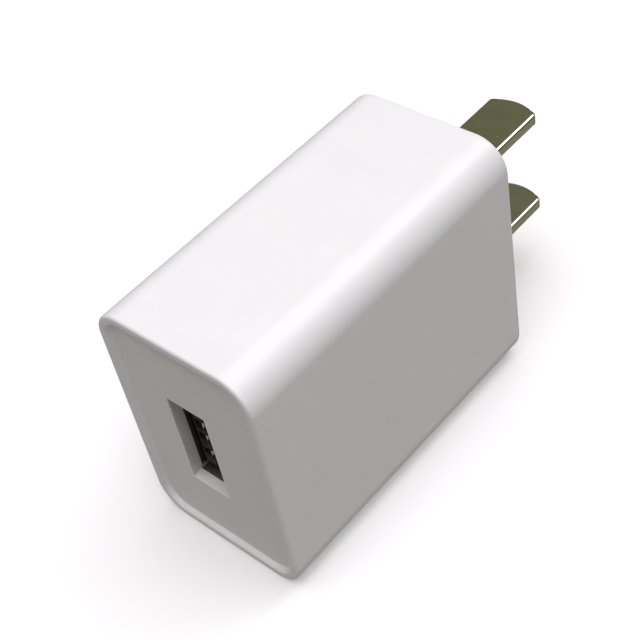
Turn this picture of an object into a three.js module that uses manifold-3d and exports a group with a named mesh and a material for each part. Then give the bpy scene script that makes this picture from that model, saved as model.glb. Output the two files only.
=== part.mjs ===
// USB wall charger: a white case with two flat mains blades at the back and one USB-A port at the front.
// Millimetres. The origin is on the face that meets the wall, midway between the blades.
// +Y runs out along the blades, +Z is up, and +X is to the right of someone who looks at the port.
import * as THREE from "three";
import { mergeVertices } from "three/addons/utils/BufferGeometryUtils.js";
import Module from "manifold-3d";

const wasm = await Module();
wasm.setup();

// ---- Clearances ----
const FIT = 0.05; // between fixed pieces that touch
const SLIDE = 0.1; // round a piece that is pushed in
const SPACE = 0.3; // between parts side by side on the board
const OVERRUN = 1; // how far a cutting solid runs past the face that it opens
const ROOT = 0.25; // how far a joined feature is sunk into its parent

// ---- Case ----
const CASE_WIDTH = 20.7;
const CASE_HEIGHT = 31.4;
const CASE_LENGTH = 39.6;
const CASE_CORNER = 3.8;
const CASE_RISE = 0.5; // the case's middle is this far above the blades' middle
const CASE_WALL = 1.5;
const REAR_WALL = 2;
const EDGE_ROUND = 0.35;
const RIM_WIDTH = 1.17;
const PANEL_RECESS = 0.6;
const PANEL_THICKNESS = 1.6;
const RAIL_HEIGHT = 0.6;
const RAIL_THICKNESS = 0.9;
const COLLAR_WALL = 0.8; // of the panel's collar round the shell
const STAKE_RADIUS = 0.8;
const STAKE_OFFSET = 4.2; // of each staking post from the middle, along X

// ---- Blades and what holds them ----
const BLADE_SPACING = 12.7;
const BLADE_WIDTH = 6.3;
const BLADE_THICKNESS = 1.5;
const BLADE_REACH = 15.9;
const BLADE_TIP_BOW = 0.75; // how far the middle of the tip stands past its corners
const BLADE_TIP_ROUND = 0.9;
const BLADE_CHAMFER = 0.15;
const SHOULDER_WIDTH = 8.3;
const SHOULDER_LENGTH = 1.15;
const TAIL_WIDTH = 5;
const TAIL_LENGTH = 5.3;
const RETAINER_FLOOR = 1.5;
const RETAINER_MARGIN = 1.9;
const SPRING_STRIP = 0.3;
const SPRING_WIDTH = 2.7;
const SPRING_FOOT = 1.8;
const SPRING_BOW = 0.8;
const SPRING_HEIGHT = 5.6;

// ---- USB-A receptacle ----
const PORT_OFFSET = -1.25; // of the port's middle from the case's middle, along X
const PORT_MARGIN = { width: 0.01, height: 0.05 }; // how much larger the panel's opening is than the shell
const PORT_THROAT = 1.3; // depth of the panel's opening
const PORT_FLARE = 0.32; // how much the opening and the shell's mouth widen on each side
const THROAT_CORNER = 0.15;
const SHELL_WIDTH = 5.12; // inside
const SHELL_HEIGHT = 12.5; // inside
const SHELL_SHEET = 0.3;
const SHELL_ROUND = 0.4;
const SHELL_LENGTH = 12.6;
const SHELL_LIP = 0.9; // length of the flared mouth
const SHELL_LEG = [3.5, 5.3]; // from the mouth, along Y
const FINGER_WIDTH = 1.8;
const FINGER_LENGTH = 4.6;
const FINGER_START = 3.6; // of the finger's window from the mouth
const FINGER_BULGE = 0.32;
const FINGER_ROWS = { lower: -3.2, upper: 3.2 }; // of each finger from the port's middle, along Z
const FINGER_CLEAR = 0.3; // round each finger in its window
const TONGUE_THICKNESS = 1.84;
const TONGUE_WIDTH = 11.1;
const TONGUE_GAP = 0.44; // between the tongue and the shell's near wall
const TONGUE_SETBACK = 0.55; // of the tongue's nose from the shell's mouth
const BASE_LENGTH = 3;
const GROOVE_DEPTH = 1.47;
const CONTACT_WIDTH = 1;
const CONTACT_SHEET = 0.25;
const CONTACT_ROWS = { ground: -3.5, data_plus: -1, data_minus: 1, vbus: 3.5 };
const CONTACT_SEAT = 0.72; // of the contact's fixed stretch below the tongue's face
const CONTACT_CREST = 0.42; // of the contact's bow above the tongue's face
const CONTACT_TAIL_WIDTH = 0.8;
const TAIL_BEND = 0.45; // of the tails' bend behind the base

// ---- Circuit board ----
const BOARD_THICKNESS = 1.2;
const BOARD_SEAT = 0.1; // between the board and the shell
const LEG_RADIUS = 0.3;
const LEG_HOLE = 0.45;
const LEG_TAIL = 1; // how far a leg stands out of the board's far side
const STAND_OFF = 0.3; // of a leaded part's body from the board

// ---- Parts on the board ----
const INPUT_CAP = { radius: 4, height: 12, pitch: 3.5 };
const OUTPUT_CAP = { radius: 3.15, height: 11.3, pitch: 2.5 };
const POLYMER_CAP = { radius: 3, height: 8, pitch: 2.5 };
const CORE_WIDTH = 13.3;
const CORE_LENGTH = 12;
const CORE_DEPTH = 6.15;
const CORE_BACK = 1.4;
const CORE_OUTER_LEG = 1.65;
const CORE_CENTRE_LEG = 2.7;
const CORE_GAP = 0.06; // where the two halves meet
const BOBBIN_WALL = 0.5;
const BOBBIN_FLANGE = 0.6;
const WINDING_DEPTH = 2;
const BOBBIN_CLEAR = 0.15; // round the centre leg and inside the core's window
const PIN_RAIL_OVERHANG = 1.1;
const PIN_PITCH = 2.5;
const PINS_A_SIDE = 4;
const TAPE_THICKNESS = 0.15;
const TAPE_WIDTH = 4.4;
const INDUCTOR = { radius: 1.75, length: 6.4, wireRun: 0.9 }; // wireRun: of the wire past the body's end
const FUSE_RESISTOR = { radius: 1.35, length: 7, fold: 0.7, arch: 0.6 }; // of the folded wire past the body
const Y_CAPACITOR = { radius: 3.3, thickness: 2.8, pitch: 5, rise: 0.6 }; // rise: of the disc on its wires
const RESISTOR_CHIP = [3.2, 1.6, 0.55];
const CAPACITOR_CHIP = [3.2, 1.6, 1.1];
const SMALL_RESISTOR_CHIP = [2, 1.25, 0.5];
const SMALL_CAPACITOR_CHIP = [2, 1.25, 0.9];
const CHIP_END = 0.35; // length of a chip's metal end
const CHIP_END_PROUD = 0.02;
const CHIP_ROW = 4.9; // of the chips beside the controller from its middle
const SHEET_THICKNESS = 0.2;
const CHIP_DRAFT = 0.12; // how far a moulded chip's top and bottom edges lean in

// ---- Fineness of round surfaces ----
const CORNER_STEPS = 8;
const ROUND_STEPS = 20;
const WIRE_STEPS = 8;
const FILLET_STEPS = 3;

// ---- Places that follow from the sizes above ----
const INNER_WIDTH = CASE_WIDTH - 2 * CASE_WALL;
const INNER_HEIGHT = CASE_HEIGHT - 2 * CASE_WALL;
const INNER_TOP = CASE_RISE + INNER_HEIGHT / 2;
const INNER_BOTTOM = CASE_RISE - INNER_HEIGHT / 2;
const FRONT_Y = -CASE_LENGTH;
const PANEL_FRONT = FRONT_Y + PANEL_RECESS;
const PANEL_BACK = PANEL_FRONT + PANEL_THICKNESS;
const PORT_WIDTH = SHELL_WIDTH + PORT_MARGIN.width;
const PORT_HEIGHT = SHELL_HEIGHT + PORT_MARGIN.height;
const MOUTH_Y = PANEL_FRONT + PORT_THROAT + FIT;
const LIP_END = MOUTH_Y + SHELL_LIP;
const SHELL_END = MOUTH_Y + SHELL_LENGTH;
const SHELL_NEAR = PORT_OFFSET - SHELL_WIDTH / 2; // inside face on the board's side
const TONGUE_NEAR = SHELL_NEAR + TONGUE_GAP;
const TONGUE_FACE = TONGUE_NEAR + TONGUE_THICKNESS;
const TONGUE_NOSE = MOUTH_Y + TONGUE_SETBACK;
const BASE_END = SHELL_END - 0.2;
const BASE_START = BASE_END - BASE_LENGTH;
const CONTACT_LINE = TONGUE_FACE - CONTACT_SEAT;
const FAR_WALL = PORT_OFFSET + (SHELL_WIDTH + SHELL_SHEET) / 2; // middle of the wall opposite the contacts
const FINGER_TIP = MOUTH_Y + FINGER_START;
const FINGER_ROOT = FINGER_TIP + FINGER_LENGTH;
const BOARD_FACE = SHELL_NEAR - SHELL_SHEET - BOARD_SEAT;
const BOARD_BACK = BOARD_FACE - BOARD_THICKNESS;
const SHOULDER_Y = -(REAR_WALL + FIT);
const TAIL_Y = SHOULDER_Y - SHOULDER_LENGTH;
const BLADE_END = TAIL_Y - TAIL_LENGTH;
const RETAINER_Y = TAIL_Y - FIT - RETAINER_FLOOR;
const BOARD_REAR = RETAINER_Y - SPACE;
const BOARD_FRONT = LIP_END + SLIDE;
const RAIL_TOP = INNER_TOP - RAIL_HEIGHT;
const RAIL_BOTTOM = INNER_BOTTOM + RAIL_HEIGHT;
const POWER_REAR = BLADE_END - 2 * SPACE; // rearmost place for the tall parts
const TRANSFORMER_Y = POWER_REAR - PIN_RAIL_OVERHANG - CORE_LENGTH / 2;
const TRANSFORMER_Z = RAIL_BOTTOM + SPACE + TAPE_THICKNESS + CORE_WIDTH / 2;
const TRANSFORMER_TOP = TRANSFORMER_Z + CORE_WIDTH / 2 + TAPE_THICKNESS + FIT;
const INPUT_CAP_Z = RAIL_TOP - SPACE - INPUT_CAP.radius;
const ALLEY_Z = (TRANSFORMER_TOP + INPUT_CAP_Z - INPUT_CAP.radius) / 2; // between transformer and capacitors

// ---- Materials ----
const finish = (color, roughness, metalness = 0) =>
  new THREE.MeshStandardMaterial({ color, roughness, metalness });
const WHITE_PLASTIC = finish(0xf2f1f4, 0.32);
const PALE_PLASTIC = finish(0xdddcd6, 0.5);
const BLACK_PLASTIC = finish(0x16150f, 0.55);
const NICKEL = finish(0x8f8d78, 0.28, 1);
const TIN = finish(0xb9bab8, 0.35, 1);
const BRONZE = finish(0xc9a468, 0.3, 1);
const BOARD_GREEN = finish(0x1f5a34, 0.45);
const FERRITE = finish(0x2c2c30, 0.7);
const TAPE_YELLOW = finish(0xe0b93a, 0.4);
const SLEEVE_BLUE = finish(0x1d2b55, 0.35);
const SLEEVE_GREEN = finish(0x2b4a35, 0.35);
const ALUMINIUM = finish(0xc8cacc, 0.3, 1);
const CERAMIC_BLUE = finish(0x2f67b0, 0.4);
const MOULD_BLACK = finish(0x1b1b1d, 0.5);
const RESISTOR_GREEN = finish(0x4d8c63, 0.45);
const CHIP_BLACK = finish(0x121214, 0.4);
const CHIP_TAN = finish(0xa68b66, 0.5);
const FILM = finish(0xe6e2d2, 0.3);

// ---- Solids ----

/** A closed geometry as a solid that can be joined and cut. */
function solidOf(geometry) {
  const bare = geometry.clone();
  bare.deleteAttribute("normal");
  bare.deleteAttribute("uv");
  const merged = mergeVertices(bare, 1e-4);
  return new wasm.Manifold(
    new wasm.Mesh({
      numProp: 3,
      vertProperties: new Float32Array(merged.attributes.position.array),
      triVerts: new Uint32Array(merged.index.array),
    }),
  );
}

/** A solid as a geometry for a mesh. */
function geometryOf(solid) {
  const mesh = solid.getMesh();
  const geometry = new THREE.BufferGeometry();
  geometry.setAttribute("position", new THREE.BufferAttribute(mesh.vertProperties, 3));
  geometry.setIndex(new THREE.BufferAttribute(mesh.triVerts, 1));
  const flat = geometry.toNonIndexed();
  flat.computeVertexNormals();
  return flat;
}

const join = (first, ...others) => others.reduce((whole, piece) => whole.add(piece), first);
const cut = (first, ...others) => others.reduce((whole, piece) => whole.subtract(piece), first);

/** A box between two corners. */
function box([x0, y0, z0], [x1, y1, z1]) {
  const geometry = new THREE.BoxGeometry(x1 - x0, y1 - y0, z1 - z0);
  return solidOf(geometry.translate((x0 + x1) / 2, (y0 + y1) / 2, (z0 + z1) / 2));
}

/** Points round a rectangle with round corners, anticlockwise. */
function roundedOutline(width, height, radius, middle = [0, 0], steps = CORNER_STEPS) {
  const points = [];
  const corners = [
    [1, 1],
    [-1, 1],
    [-1, -1],
    [1, -1],
  ];
  corners.forEach(([sx, sy], quarter) => {
    for (let i = 0; i <= steps; i++) {
      const angle = ((quarter + i / steps) * Math.PI) / 2;
      const x = middle[0] + sx * (width / 2 - radius) + radius * Math.cos(angle);
      const y = middle[1] + sy * (height / 2 - radius) + radius * Math.sin(angle);
      points.push(new THREE.Vector2(x, y));
    }
  });
  return points;
}

/** The corners of a rectangle about a point, anticlockwise. */
function rectangle(width, height, middle = [0, 0]) {
  const corners = [
    [1, 1],
    [-1, 1],
    [-1, -1],
    [1, -1],
  ];
  const along = (axis, side, size) => middle[axis] + (side * size) / 2;
  return corners.map(([sx, sy]) => new THREE.Vector2(along(0, sx, width), along(1, sy, height)));
}

/** A closed skin through outlines in X and Z at rising values of Y; all outlines have as many points. */
function loftGeometry(sections) {
  const count = sections[0].outline.length;
  const positions = sections.flatMap(({ outline, y }) => outline.flatMap((p) => [p.x, y, p.y]));
  const faces = [];
  for (let s = 0; s + 1 < sections.length; s++) {
    for (let i = 0; i < count; i++) {
      const next = (i + 1) % count;
      const [a, b] = [s * count + i, s * count + next];
      faces.push(a, a + count, b + count, a, b + count, b);
    }
  }
  const last = (sections.length - 1) * count;
  for (const [a, b, c] of THREE.ShapeUtils.triangulateShape(sections[0].outline, [])) {
    faces.push(a, b, c);
    faces.push(last + a, last + c, last + b);
  }
  const geometry = new THREE.BufferGeometry();
  geometry.setAttribute("position", new THREE.Float32BufferAttribute(positions, 3));
  geometry.setIndex(faces);
  return geometry;
}

const loft = (sections) => solidOf(loftGeometry(sections));

/** An outline in X and Z drawn out along Y. */
const prismY = (outline, y0, y1) =>
  loft([
    { outline, y: y0 },
    { outline, y: y1 },
  ]);

/** An outline drawn out from one level to another along Z. */
function extrusion(outline, z0, z1) {
  const shape = new THREE.Shape(outline);
  const geometry = new THREE.ExtrudeGeometry(shape, { depth: z1 - z0, bevelEnabled: false });
  return geometry.translate(0, 0, z0);
}

/** An outline in X and Y drawn out along Z. */
const prismZ = (outline, z0, z1) => solidOf(extrusion(outline, z0, z1));

/** An outline in Y and Z drawn out along X. */
const prismX = (outline, x0, x1) =>
  solidOf(extrusion(outline, x0, x1).rotateX(Math.PI / 2).rotateZ(Math.PI / 2));

/** The outline of a strip of sheet metal that follows a line of points. */
function stripOutline(line, thickness) {
  const points = line.map(([x, y]) => new THREE.Vector2(x, y));
  const offset = (side) =>
    points.map((point, i) => {
      const before = points[Math.max(i - 1, 0)];
      const after = points[Math.min(i + 1, points.length - 1)];
      const into = point.clone().sub(i ? before : point);
      const out = after.clone().sub(point);
      const [a, b] = [into, out].map((d) => (d.length() ? d.normalize() : null));
      const along = (a ?? b).clone().add(b ?? a).normalize();
      const stretch = 1 / Math.sqrt((1 + (a ?? b).dot(b ?? a)) / 2);
      const normal = new THREE.Vector2(-along.y, along.x);
      return point.clone().addScaledVector(normal, (side * stretch * thickness) / 2);
    });
  const outline = [...offset(-1), ...offset(1).reverse()];
  return THREE.ShapeUtils.isClockWise(outline) ? outline.reverse() : outline;
}

/** A turned form about the local Y axis from (radius, height) pairs that start and end on the axis. */
function turned(profile) {
  const points = profile.map(([radius, height]) => new THREE.Vector2(radius, height));
  return new THREE.LatheGeometry(points, ROUND_STEPS);
}

/** A turned solid that stands up from the board. */
const turnedUpright = (profile) => solidOf(turned(profile).rotateX(Math.PI / 2));

/** A round wire between two heights above or below the board. */
function uprightWire(x, y, low, high, radius = LEG_RADIUS) {
  const geometry = new THREE.CylinderGeometry(radius, radius, high - low, WIRE_STEPS);
  return solidOf(geometry.rotateX(Math.PI / 2).translate(x, y, (low + high) / 2));
}

/** A round wire along the local X axis. */
function flatWire(x0, x1, y, height, radius = LEG_RADIUS) {
  const geometry = new THREE.CylinderGeometry(radius, radius, x1 - x0, WIRE_STEPS);
  return solidOf(geometry.rotateZ(Math.PI / 2).translate((x0 + x1) / 2, y, height));
}

/** A named mesh. */
function piece(name, shape, material) {
  const mesh = new THREE.Mesh(shape.isBufferGeometry ? shape : geometryOf(shape), material);
  mesh.name = name;
  return mesh;
}

// ---- Case ----

/** The case's block with its two end edges rounded. */
function caseBlock() {
  const sections = [];
  const outlineAt = (inset) =>
    roundedOutline(CASE_WIDTH - 2 * inset, CASE_HEIGHT - 2 * inset, CASE_CORNER - inset, [0, CASE_RISE]);
  for (let i = 0; i <= FILLET_STEPS; i++) {
    const angle = ((i / FILLET_STEPS) * Math.PI) / 2;
    const inset = EDGE_ROUND * (1 - Math.sin(angle));
    const depth = EDGE_ROUND * (1 - Math.cos(angle));
    sections.push({ outline: outlineAt(inset), y: FRONT_Y + depth });
    sections.push({ outline: outlineAt(inset), y: -depth });
  }
  return loft(sections.sort((a, b) => a.y - b.y));
}

/** The two slots that the blades pass through, with a clearance all round. */
function bladeHoles(width, clearance, y0, y1) {
  return [-1, 1].map((side) => {
    const middle = (side * BLADE_SPACING) / 2;
    const [halfX, halfZ] = [width / 2 + clearance, BLADE_THICKNESS / 2 + clearance];
    return box([-halfX, y0, middle - halfZ], [halfX, y1, middle + halfZ]);
  });
}

/** A staking post or, with a clearance, the hole for it. */
function stakes(y0, y1, clearance = 0) {
  return [-1, 1].map((side) => {
    const radius = STAKE_RADIUS + clearance;
    const post = new THREE.CylinderGeometry(radius, radius, y1 - y0, 12);
    return solidOf(post.translate(side * STAKE_OFFSET, (y0 + y1) / 2, 0));
  });
}

/** The sleeve with its closed rear wall, board rails and staking posts. */
function housing() {
  const middle = [0, CASE_RISE];
  const hollow = roundedOutline(INNER_WIDTH, INNER_HEIGHT, CASE_CORNER - CASE_WALL, middle);
  const rebate = roundedOutline(
    CASE_WIDTH - 2 * RIM_WIDTH,
    CASE_HEIGHT - 2 * RIM_WIDTH,
    CASE_CORNER - RIM_WIDTH,
    middle,
  );
  const shell = cut(
    caseBlock(),
    prismY(hollow, FRONT_Y - OVERRUN, -REAR_WALL),
    prismY(rebate, FRONT_Y - OVERRUN, PANEL_BACK + FIT),
    ...bladeHoles(BLADE_WIDTH, FIT, -REAR_WALL - OVERRUN, OVERRUN),
  );
  const rails = [];
  for (const [edge, wall] of [
    [RAIL_TOP, INNER_TOP + ROOT],
    [RAIL_BOTTOM, INNER_BOTTOM - ROOT],
  ]) {
    for (const x of [BOARD_FACE + SLIDE, BOARD_BACK - SLIDE - RAIL_THICKNESS]) {
      const z = [edge, wall].sort((a, b) => a - b);
      rails.push(box([x, BOARD_FRONT, z[0]], [x + RAIL_THICKNESS, -REAR_WALL + ROOT, z[1]]));
    }
  }
  return join(shell, ...rails, ...stakes(RETAINER_Y - SPACE, -REAR_WALL + ROOT));
}

/** The inset front panel with its flared port opening and a locating collar behind. */
function frontPanel() {
  const lap = RIM_WIDTH + FIT;
  const [width, height] = [CASE_WIDTH - 2 * lap, CASE_HEIGHT - 2 * lap];
  const edge = roundedOutline(width, height, CASE_CORNER - lap, [0, CASE_RISE]);
  const middle = [PORT_OFFSET, 0];
  const opening = (grow, radius) =>
    roundedOutline(PORT_WIDTH + 2 * grow, PORT_HEIGHT + 2 * grow, radius, middle, 2);
  const slope = PORT_FLARE / PORT_THROAT;
  const throat = loft([
    { outline: opening(-slope * OVERRUN, THROAT_CORNER), y: PANEL_FRONT - OVERRUN },
    { outline: opening(PORT_FLARE, THROAT_CORNER), y: PANEL_FRONT + PORT_THROAT },
  ]);
  const pocketGrow = PORT_FLARE + SHELL_SHEET + SLIDE;
  const collarEnd = LIP_END - SLIDE;
  const pocketFront = PANEL_FRONT + PORT_THROAT - FIT;
  const pocket = prismY(opening(pocketGrow, SHELL_ROUND), pocketFront, collarEnd + OVERRUN);
  const collar = prismY(opening(pocketGrow + COLLAR_WALL, 1), PANEL_BACK - ROOT, collarEnd);
  return cut(join(prismY(edge, PANEL_FRONT, PANEL_BACK), collar), throat, pocket);
}

// ---- Blades ----

/** A blade's outline from its narrow tail, past its wide shoulders, to its bowed tip. */
function bladeOutline() {
  const corner = BLADE_REACH - BLADE_TIP_BOW;
  const half = BLADE_WIDTH / 2;
  const shoulder = corner + BLADE_TIP_BOW / 3; // where the tip's arc starts
  const crown = 2 * BLADE_REACH - shoulder; // control point that lets the arc just reach the full length
  const outline = new THREE.Shape();
  outline.moveTo(-TAIL_WIDTH / 2, BLADE_END);
  outline.lineTo(TAIL_WIDTH / 2, BLADE_END);
  outline.lineTo(TAIL_WIDTH / 2, TAIL_Y);
  outline.lineTo(SHOULDER_WIDTH / 2, TAIL_Y);
  outline.lineTo(SHOULDER_WIDTH / 2, SHOULDER_Y);
  outline.lineTo(half, SHOULDER_Y);
  outline.lineTo(half, corner - BLADE_TIP_ROUND / 2);
  outline.quadraticCurveTo(half, corner, half - BLADE_TIP_ROUND, shoulder);
  outline.quadraticCurveTo(0, crown, -half + BLADE_TIP_ROUND, shoulder);
  outline.quadraticCurveTo(-half, corner, -half, corner - BLADE_TIP_ROUND / 2);
  outline.lineTo(-half, SHOULDER_Y);
  outline.lineTo(-SHOULDER_WIDTH / 2, SHOULDER_Y);
  outline.lineTo(-SHOULDER_WIDTH / 2, TAIL_Y);
  outline.lineTo(-TAIL_WIDTH / 2, TAIL_Y);
  return outline;
}

/** One blade with chamfered edges, at the given height. */
function blade(name, z) {
  const geometry = new THREE.ExtrudeGeometry(bladeOutline(), {
    depth: BLADE_THICKNESS - 2 * BLADE_CHAMFER,
    bevelThickness: BLADE_CHAMFER,
    bevelSize: BLADE_CHAMFER,
    bevelOffset: -BLADE_CHAMFER,
    bevelSegments: 1,
    curveSegments: 6,
  });
  geometry.translate(0, 0, -BLADE_THICKNESS / 2 + BLADE_CHAMFER);
  const mesh = piece(name, solidOf(geometry), NICKEL);
  mesh.position.z = z;
  return mesh;
}

/** The plate that traps the blades' shoulders against the rear wall. */
function bladeRetainer() {
  const halfX = SHOULDER_WIDTH / 2 + RETAINER_MARGIN;
  const halfZ = (BLADE_SPACING + BLADE_THICKNESS) / 2 + RETAINER_MARGIN;
  const outline = roundedOutline(2 * halfX, 2 * halfZ, 1, [0, 0], 3);
  return cut(
    prismY(outline, RETAINER_Y, SHOULDER_Y),
    ...bladeHoles(SHOULDER_WIDTH, FIT, TAIL_Y - FIT, SHOULDER_Y + OVERRUN),
    ...bladeHoles(TAIL_WIDTH, FIT, RETAINER_Y - OVERRUN, TAIL_Y),
    ...stakes(RETAINER_Y - OVERRUN, SHOULDER_Y + OVERRUN, SLIDE),
  );
}

/** A bowed strip that stands on the board and presses on a blade's tail; side is +1 for the upper one. */
function contactSpring(name, side) {
  const tailFace = (BLADE_SPACING - BLADE_THICKNESS) / 2 - FIT - SPRING_STRIP / 2;
  const foot = BOARD_FACE + FIT + SPRING_STRIP / 2;
  const back = tailFace - SPRING_BOW;
  const line = [
    [foot, back - SPRING_FOOT],
    [foot, back - 0.3],
    [foot + 0.3, back],
    [foot + 0.3 * SPRING_HEIGHT, back + 0.15],
    [foot + 0.6 * SPRING_HEIGHT, tailFace - 0.05],
    [foot + 0.7 * SPRING_HEIGHT, tailFace],
    [foot + 0.8 * SPRING_HEIGHT, tailFace - 0.05],
    [foot + SPRING_HEIGHT, tailFace - 0.9 * SPRING_BOW],
  ].map(([x, z]) => [x, side * z]);
  const rear = BOARD_REAR - SPACE;
  return piece(name, prismY(stripOutline(line, SPRING_STRIP), rear - SPRING_WIDTH, rear), BRONZE);
}

// ---- USB-A receptacle ----

/** The folded metal shell with its flared mouth, two windows for the sprung fingers and two board legs. */
function usbShell() {
  const middle = [PORT_OFFSET, 0];
  const outline = (grow, radius) =>
    roundedOutline(SHELL_WIDTH + 2 * grow, SHELL_HEIGHT + 2 * grow, radius, middle, 3);
  const tube = (grow, radius, run) =>
    loft([
      { outline: outline(grow + PORT_FLARE + (run * PORT_FLARE) / SHELL_LIP, radius), y: MOUTH_Y - run },
      { outline: outline(grow, radius), y: LIP_END },
      { outline: outline(grow, radius), y: SHELL_END + run },
    ]);
  const windows = Object.values(FINGER_ROWS).map((row) => {
    const half = FINGER_WIDTH / 2 + FINGER_CLEAR;
    const [inside, outside] = [FAR_WALL - SHELL_SHEET, FAR_WALL + SHELL_SHEET];
    return box([inside, FINGER_TIP, row - half], [outside, FINGER_ROOT, row + half]);
  });
  const outside = tube(SHELL_SHEET, SHELL_ROUND + SHELL_SHEET, 0);
  const shell = cut(outside, tube(0, SHELL_ROUND, OVERRUN), ...windows);
  const legFoot = BOARD_BACK - LEG_TAIL;
  const [inner, outer] = [SHELL_HEIGHT / 2, SHELL_HEIGHT / 2 + SHELL_SHEET];
  const legs = [-1, 1].map((side) => {
    const z = [side * inner, side * outer].sort((a, b) => a - b);
    return box([legFoot, MOUTH_Y + SHELL_LEG[0], z[0]], [SHELL_NEAR + 1, MOUTH_Y + SHELL_LEG[1], z[1]]);
  });
  return join(shell, ...legs);
}

/** One sprung finger of the shell, bowed into the port: it hinges at its inner end. */
function shellFinger(row) {
  const crest = FAR_WALL - FINGER_BULGE;
  const line = [
    [FAR_WALL, FINGER_ROOT - FIT],
    [FAR_WALL, FINGER_ROOT - 0.4],
    [crest, FINGER_TIP + 1.5],
    [crest, FINGER_TIP + 1.1],
    [FAR_WALL, FINGER_TIP + FINGER_CLEAR],
  ];
  return prismZ(stripOutline(line, SHELL_SHEET), row - FINGER_WIDTH / 2, row + FINGER_WIDTH / 2);
}

/** The moulded base and tongue, grooved for the four contacts. */
function usbInsulator() {
  const [halfX, halfZ] = [SHELL_WIDTH / 2 - FIT, SHELL_HEIGHT / 2 - FIT];
  const base = prismY(
    roundedOutline(2 * halfX, 2 * halfZ, SHELL_ROUND, [PORT_OFFSET, 0], 3),
    BASE_START,
    BASE_END,
  );
  const tongueMiddle = [(TONGUE_NEAR + TONGUE_FACE) / 2, 0];
  const nose = (inset) =>
    roundedOutline(TONGUE_THICKNESS - 2 * inset, TONGUE_WIDTH - 2 * inset, 0.2, tongueMiddle, 2);
  const tongue = loft([
    { outline: nose(0.15), y: TONGUE_NOSE },
    { outline: nose(0), y: TONGUE_NOSE + 0.4 },
    { outline: nose(0), y: BASE_START + ROOT },
  ]);
  const cuts = Object.values(CONTACT_ROWS).flatMap((row) => {
    const half = CONTACT_WIDTH / 2 + SLIDE;
    const groove = box(
      [TONGUE_FACE - GROOVE_DEPTH, TONGUE_NOSE - OVERRUN, row - half],
      [TONGUE_FACE + OVERRUN, BASE_START, row + half],
    );
    const tailHalf = CONTACT_SHEET / 2 + FIT;
    const channel = box(
      [CONTACT_LINE - tailHalf, BASE_START - ROOT, row - half],
      [CONTACT_LINE + tailHalf, BASE_END + OVERRUN, row + half],
    );
    return [groove, channel];
  });
  return cut(join(base, tongue), ...cuts);
}

/** The free, bowed stretch of one contact: it hinges where it leaves the base. */
function contactBeam(row) {
  const crest = TONGUE_FACE + CONTACT_CREST;
  const line = [
    [CONTACT_LINE, BASE_START - FIT],
    [CONTACT_LINE + 0.05, BASE_START - 1],
    [crest - 0.12, MOUTH_Y + 5.4],
    [crest, MOUTH_Y + 4.7],
    [crest, MOUTH_Y + 4.2],
    [crest - 0.14, MOUTH_Y + 3.5],
    [TONGUE_FACE - 0.35, TONGUE_NOSE + 0.6],
    [TONGUE_FACE - 0.52, TONGUE_NOSE + 0.3],
    [TONGUE_FACE - 0.6, TONGUE_NOSE + 0.15],
  ];
  return prismZ(stripOutline(line, CONTACT_SHEET), row - CONTACT_WIDTH / 2, row + CONTACT_WIDTH / 2);
}

/** The fixed stretch of one contact, through the base and down to the board. */
function contactTail(row) {
  const bend = BASE_END + TAIL_BEND;
  const line = [
    [CONTACT_LINE, BASE_START + FIT],
    [CONTACT_LINE, bend - 0.2],
    [CONTACT_LINE - 0.2, bend],
    [BOARD_BACK - LEG_TAIL, bend],
  ];
  const half = CONTACT_TAIL_WIDTH / 2;
  return prismZ(stripOutline(line, CONTACT_SHEET), row - half, row + half);
}

// ---- The board and what stands on it ----
// Inside the board group X is the charger's Y, Y is its Z, and Z is the height above the board's face.

const boardHoles = [];

/** Puts a leaded part on the board and notes a hole for each of its legs. */
function seat(mesh, x, y, legs = []) {
  mesh.position.set(x, y, 0);
  const low = -BOARD_THICKNESS - OVERRUN;
  legs.forEach(([dx, dy]) => boardHoles.push(uprightWire(x + dx, y + dy, low, OVERRUN, LEG_HOLE)));
  return mesh;
}

/** Puts a surface-mounted part on the board's far side. */
function seatBelow(mesh, x, y) {
  mesh.rotation.x = Math.PI;
  mesh.position.set(x, y, -BOARD_THICKNESS - FIT);
  return mesh;
}

const legSolids = (legs) =>
  legs.map(([x, y]) => uprightWire(x, y, -BOARD_THICKNESS - LEG_TAIL, STAND_OFF + ROOT));

/** An upright electrolytic capacitor with a crimped neck. */
function capacitor(name, { radius, height, pitch }, x, y, material) {
  const legs = [
    [-pitch / 2, 0],
    [pitch / 2, 0],
  ];
  const can = turnedUpright([
    [0, STAND_OFF],
    [radius - 0.2, STAND_OFF],
    [radius, STAND_OFF + 0.2],
    [radius, STAND_OFF + 1.1],
    [radius - 0.28, STAND_OFF + 1.45],
    [radius, STAND_OFF + 1.8],
    [radius, height - 0.35],
    [radius - 0.35, height],
    [0, height],
  ]);
  return seat(piece(name, join(can, ...legSolids(legs)), material), x, y, legs);
}

/** One half of the E-shaped ferrite core; side is +1 for the half next to the blades. */
function coreHalf(name, side, height) {
  const [half, reach] = [CORE_WIDTH / 2, CORE_LENGTH / 2];
  const [low, high] = [height - CORE_DEPTH / 2, height + CORE_DEPTH / 2];
  const slab = (x0, x1, y0, y1) => {
    const x = [side * x0, side * x1].sort((a, b) => a - b);
    return box([x[0], y0, low], [x[1], y1, high]);
  };
  const start = CORE_GAP / 2;
  const core = join(
    slab(reach - CORE_BACK, reach, -half, half),
    slab(start, reach - CORE_BACK + ROOT, -half, -half + CORE_OUTER_LEG),
    slab(start, reach - CORE_BACK + ROOT, half - CORE_OUTER_LEG, half),
    slab(start, reach - CORE_BACK + ROOT, -CORE_CENTRE_LEG / 2, CORE_CENTRE_LEG / 2),
  );
  return seat(piece(name, core, FERRITE), TRANSFORMER_Y, TRANSFORMER_Z);
}

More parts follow.
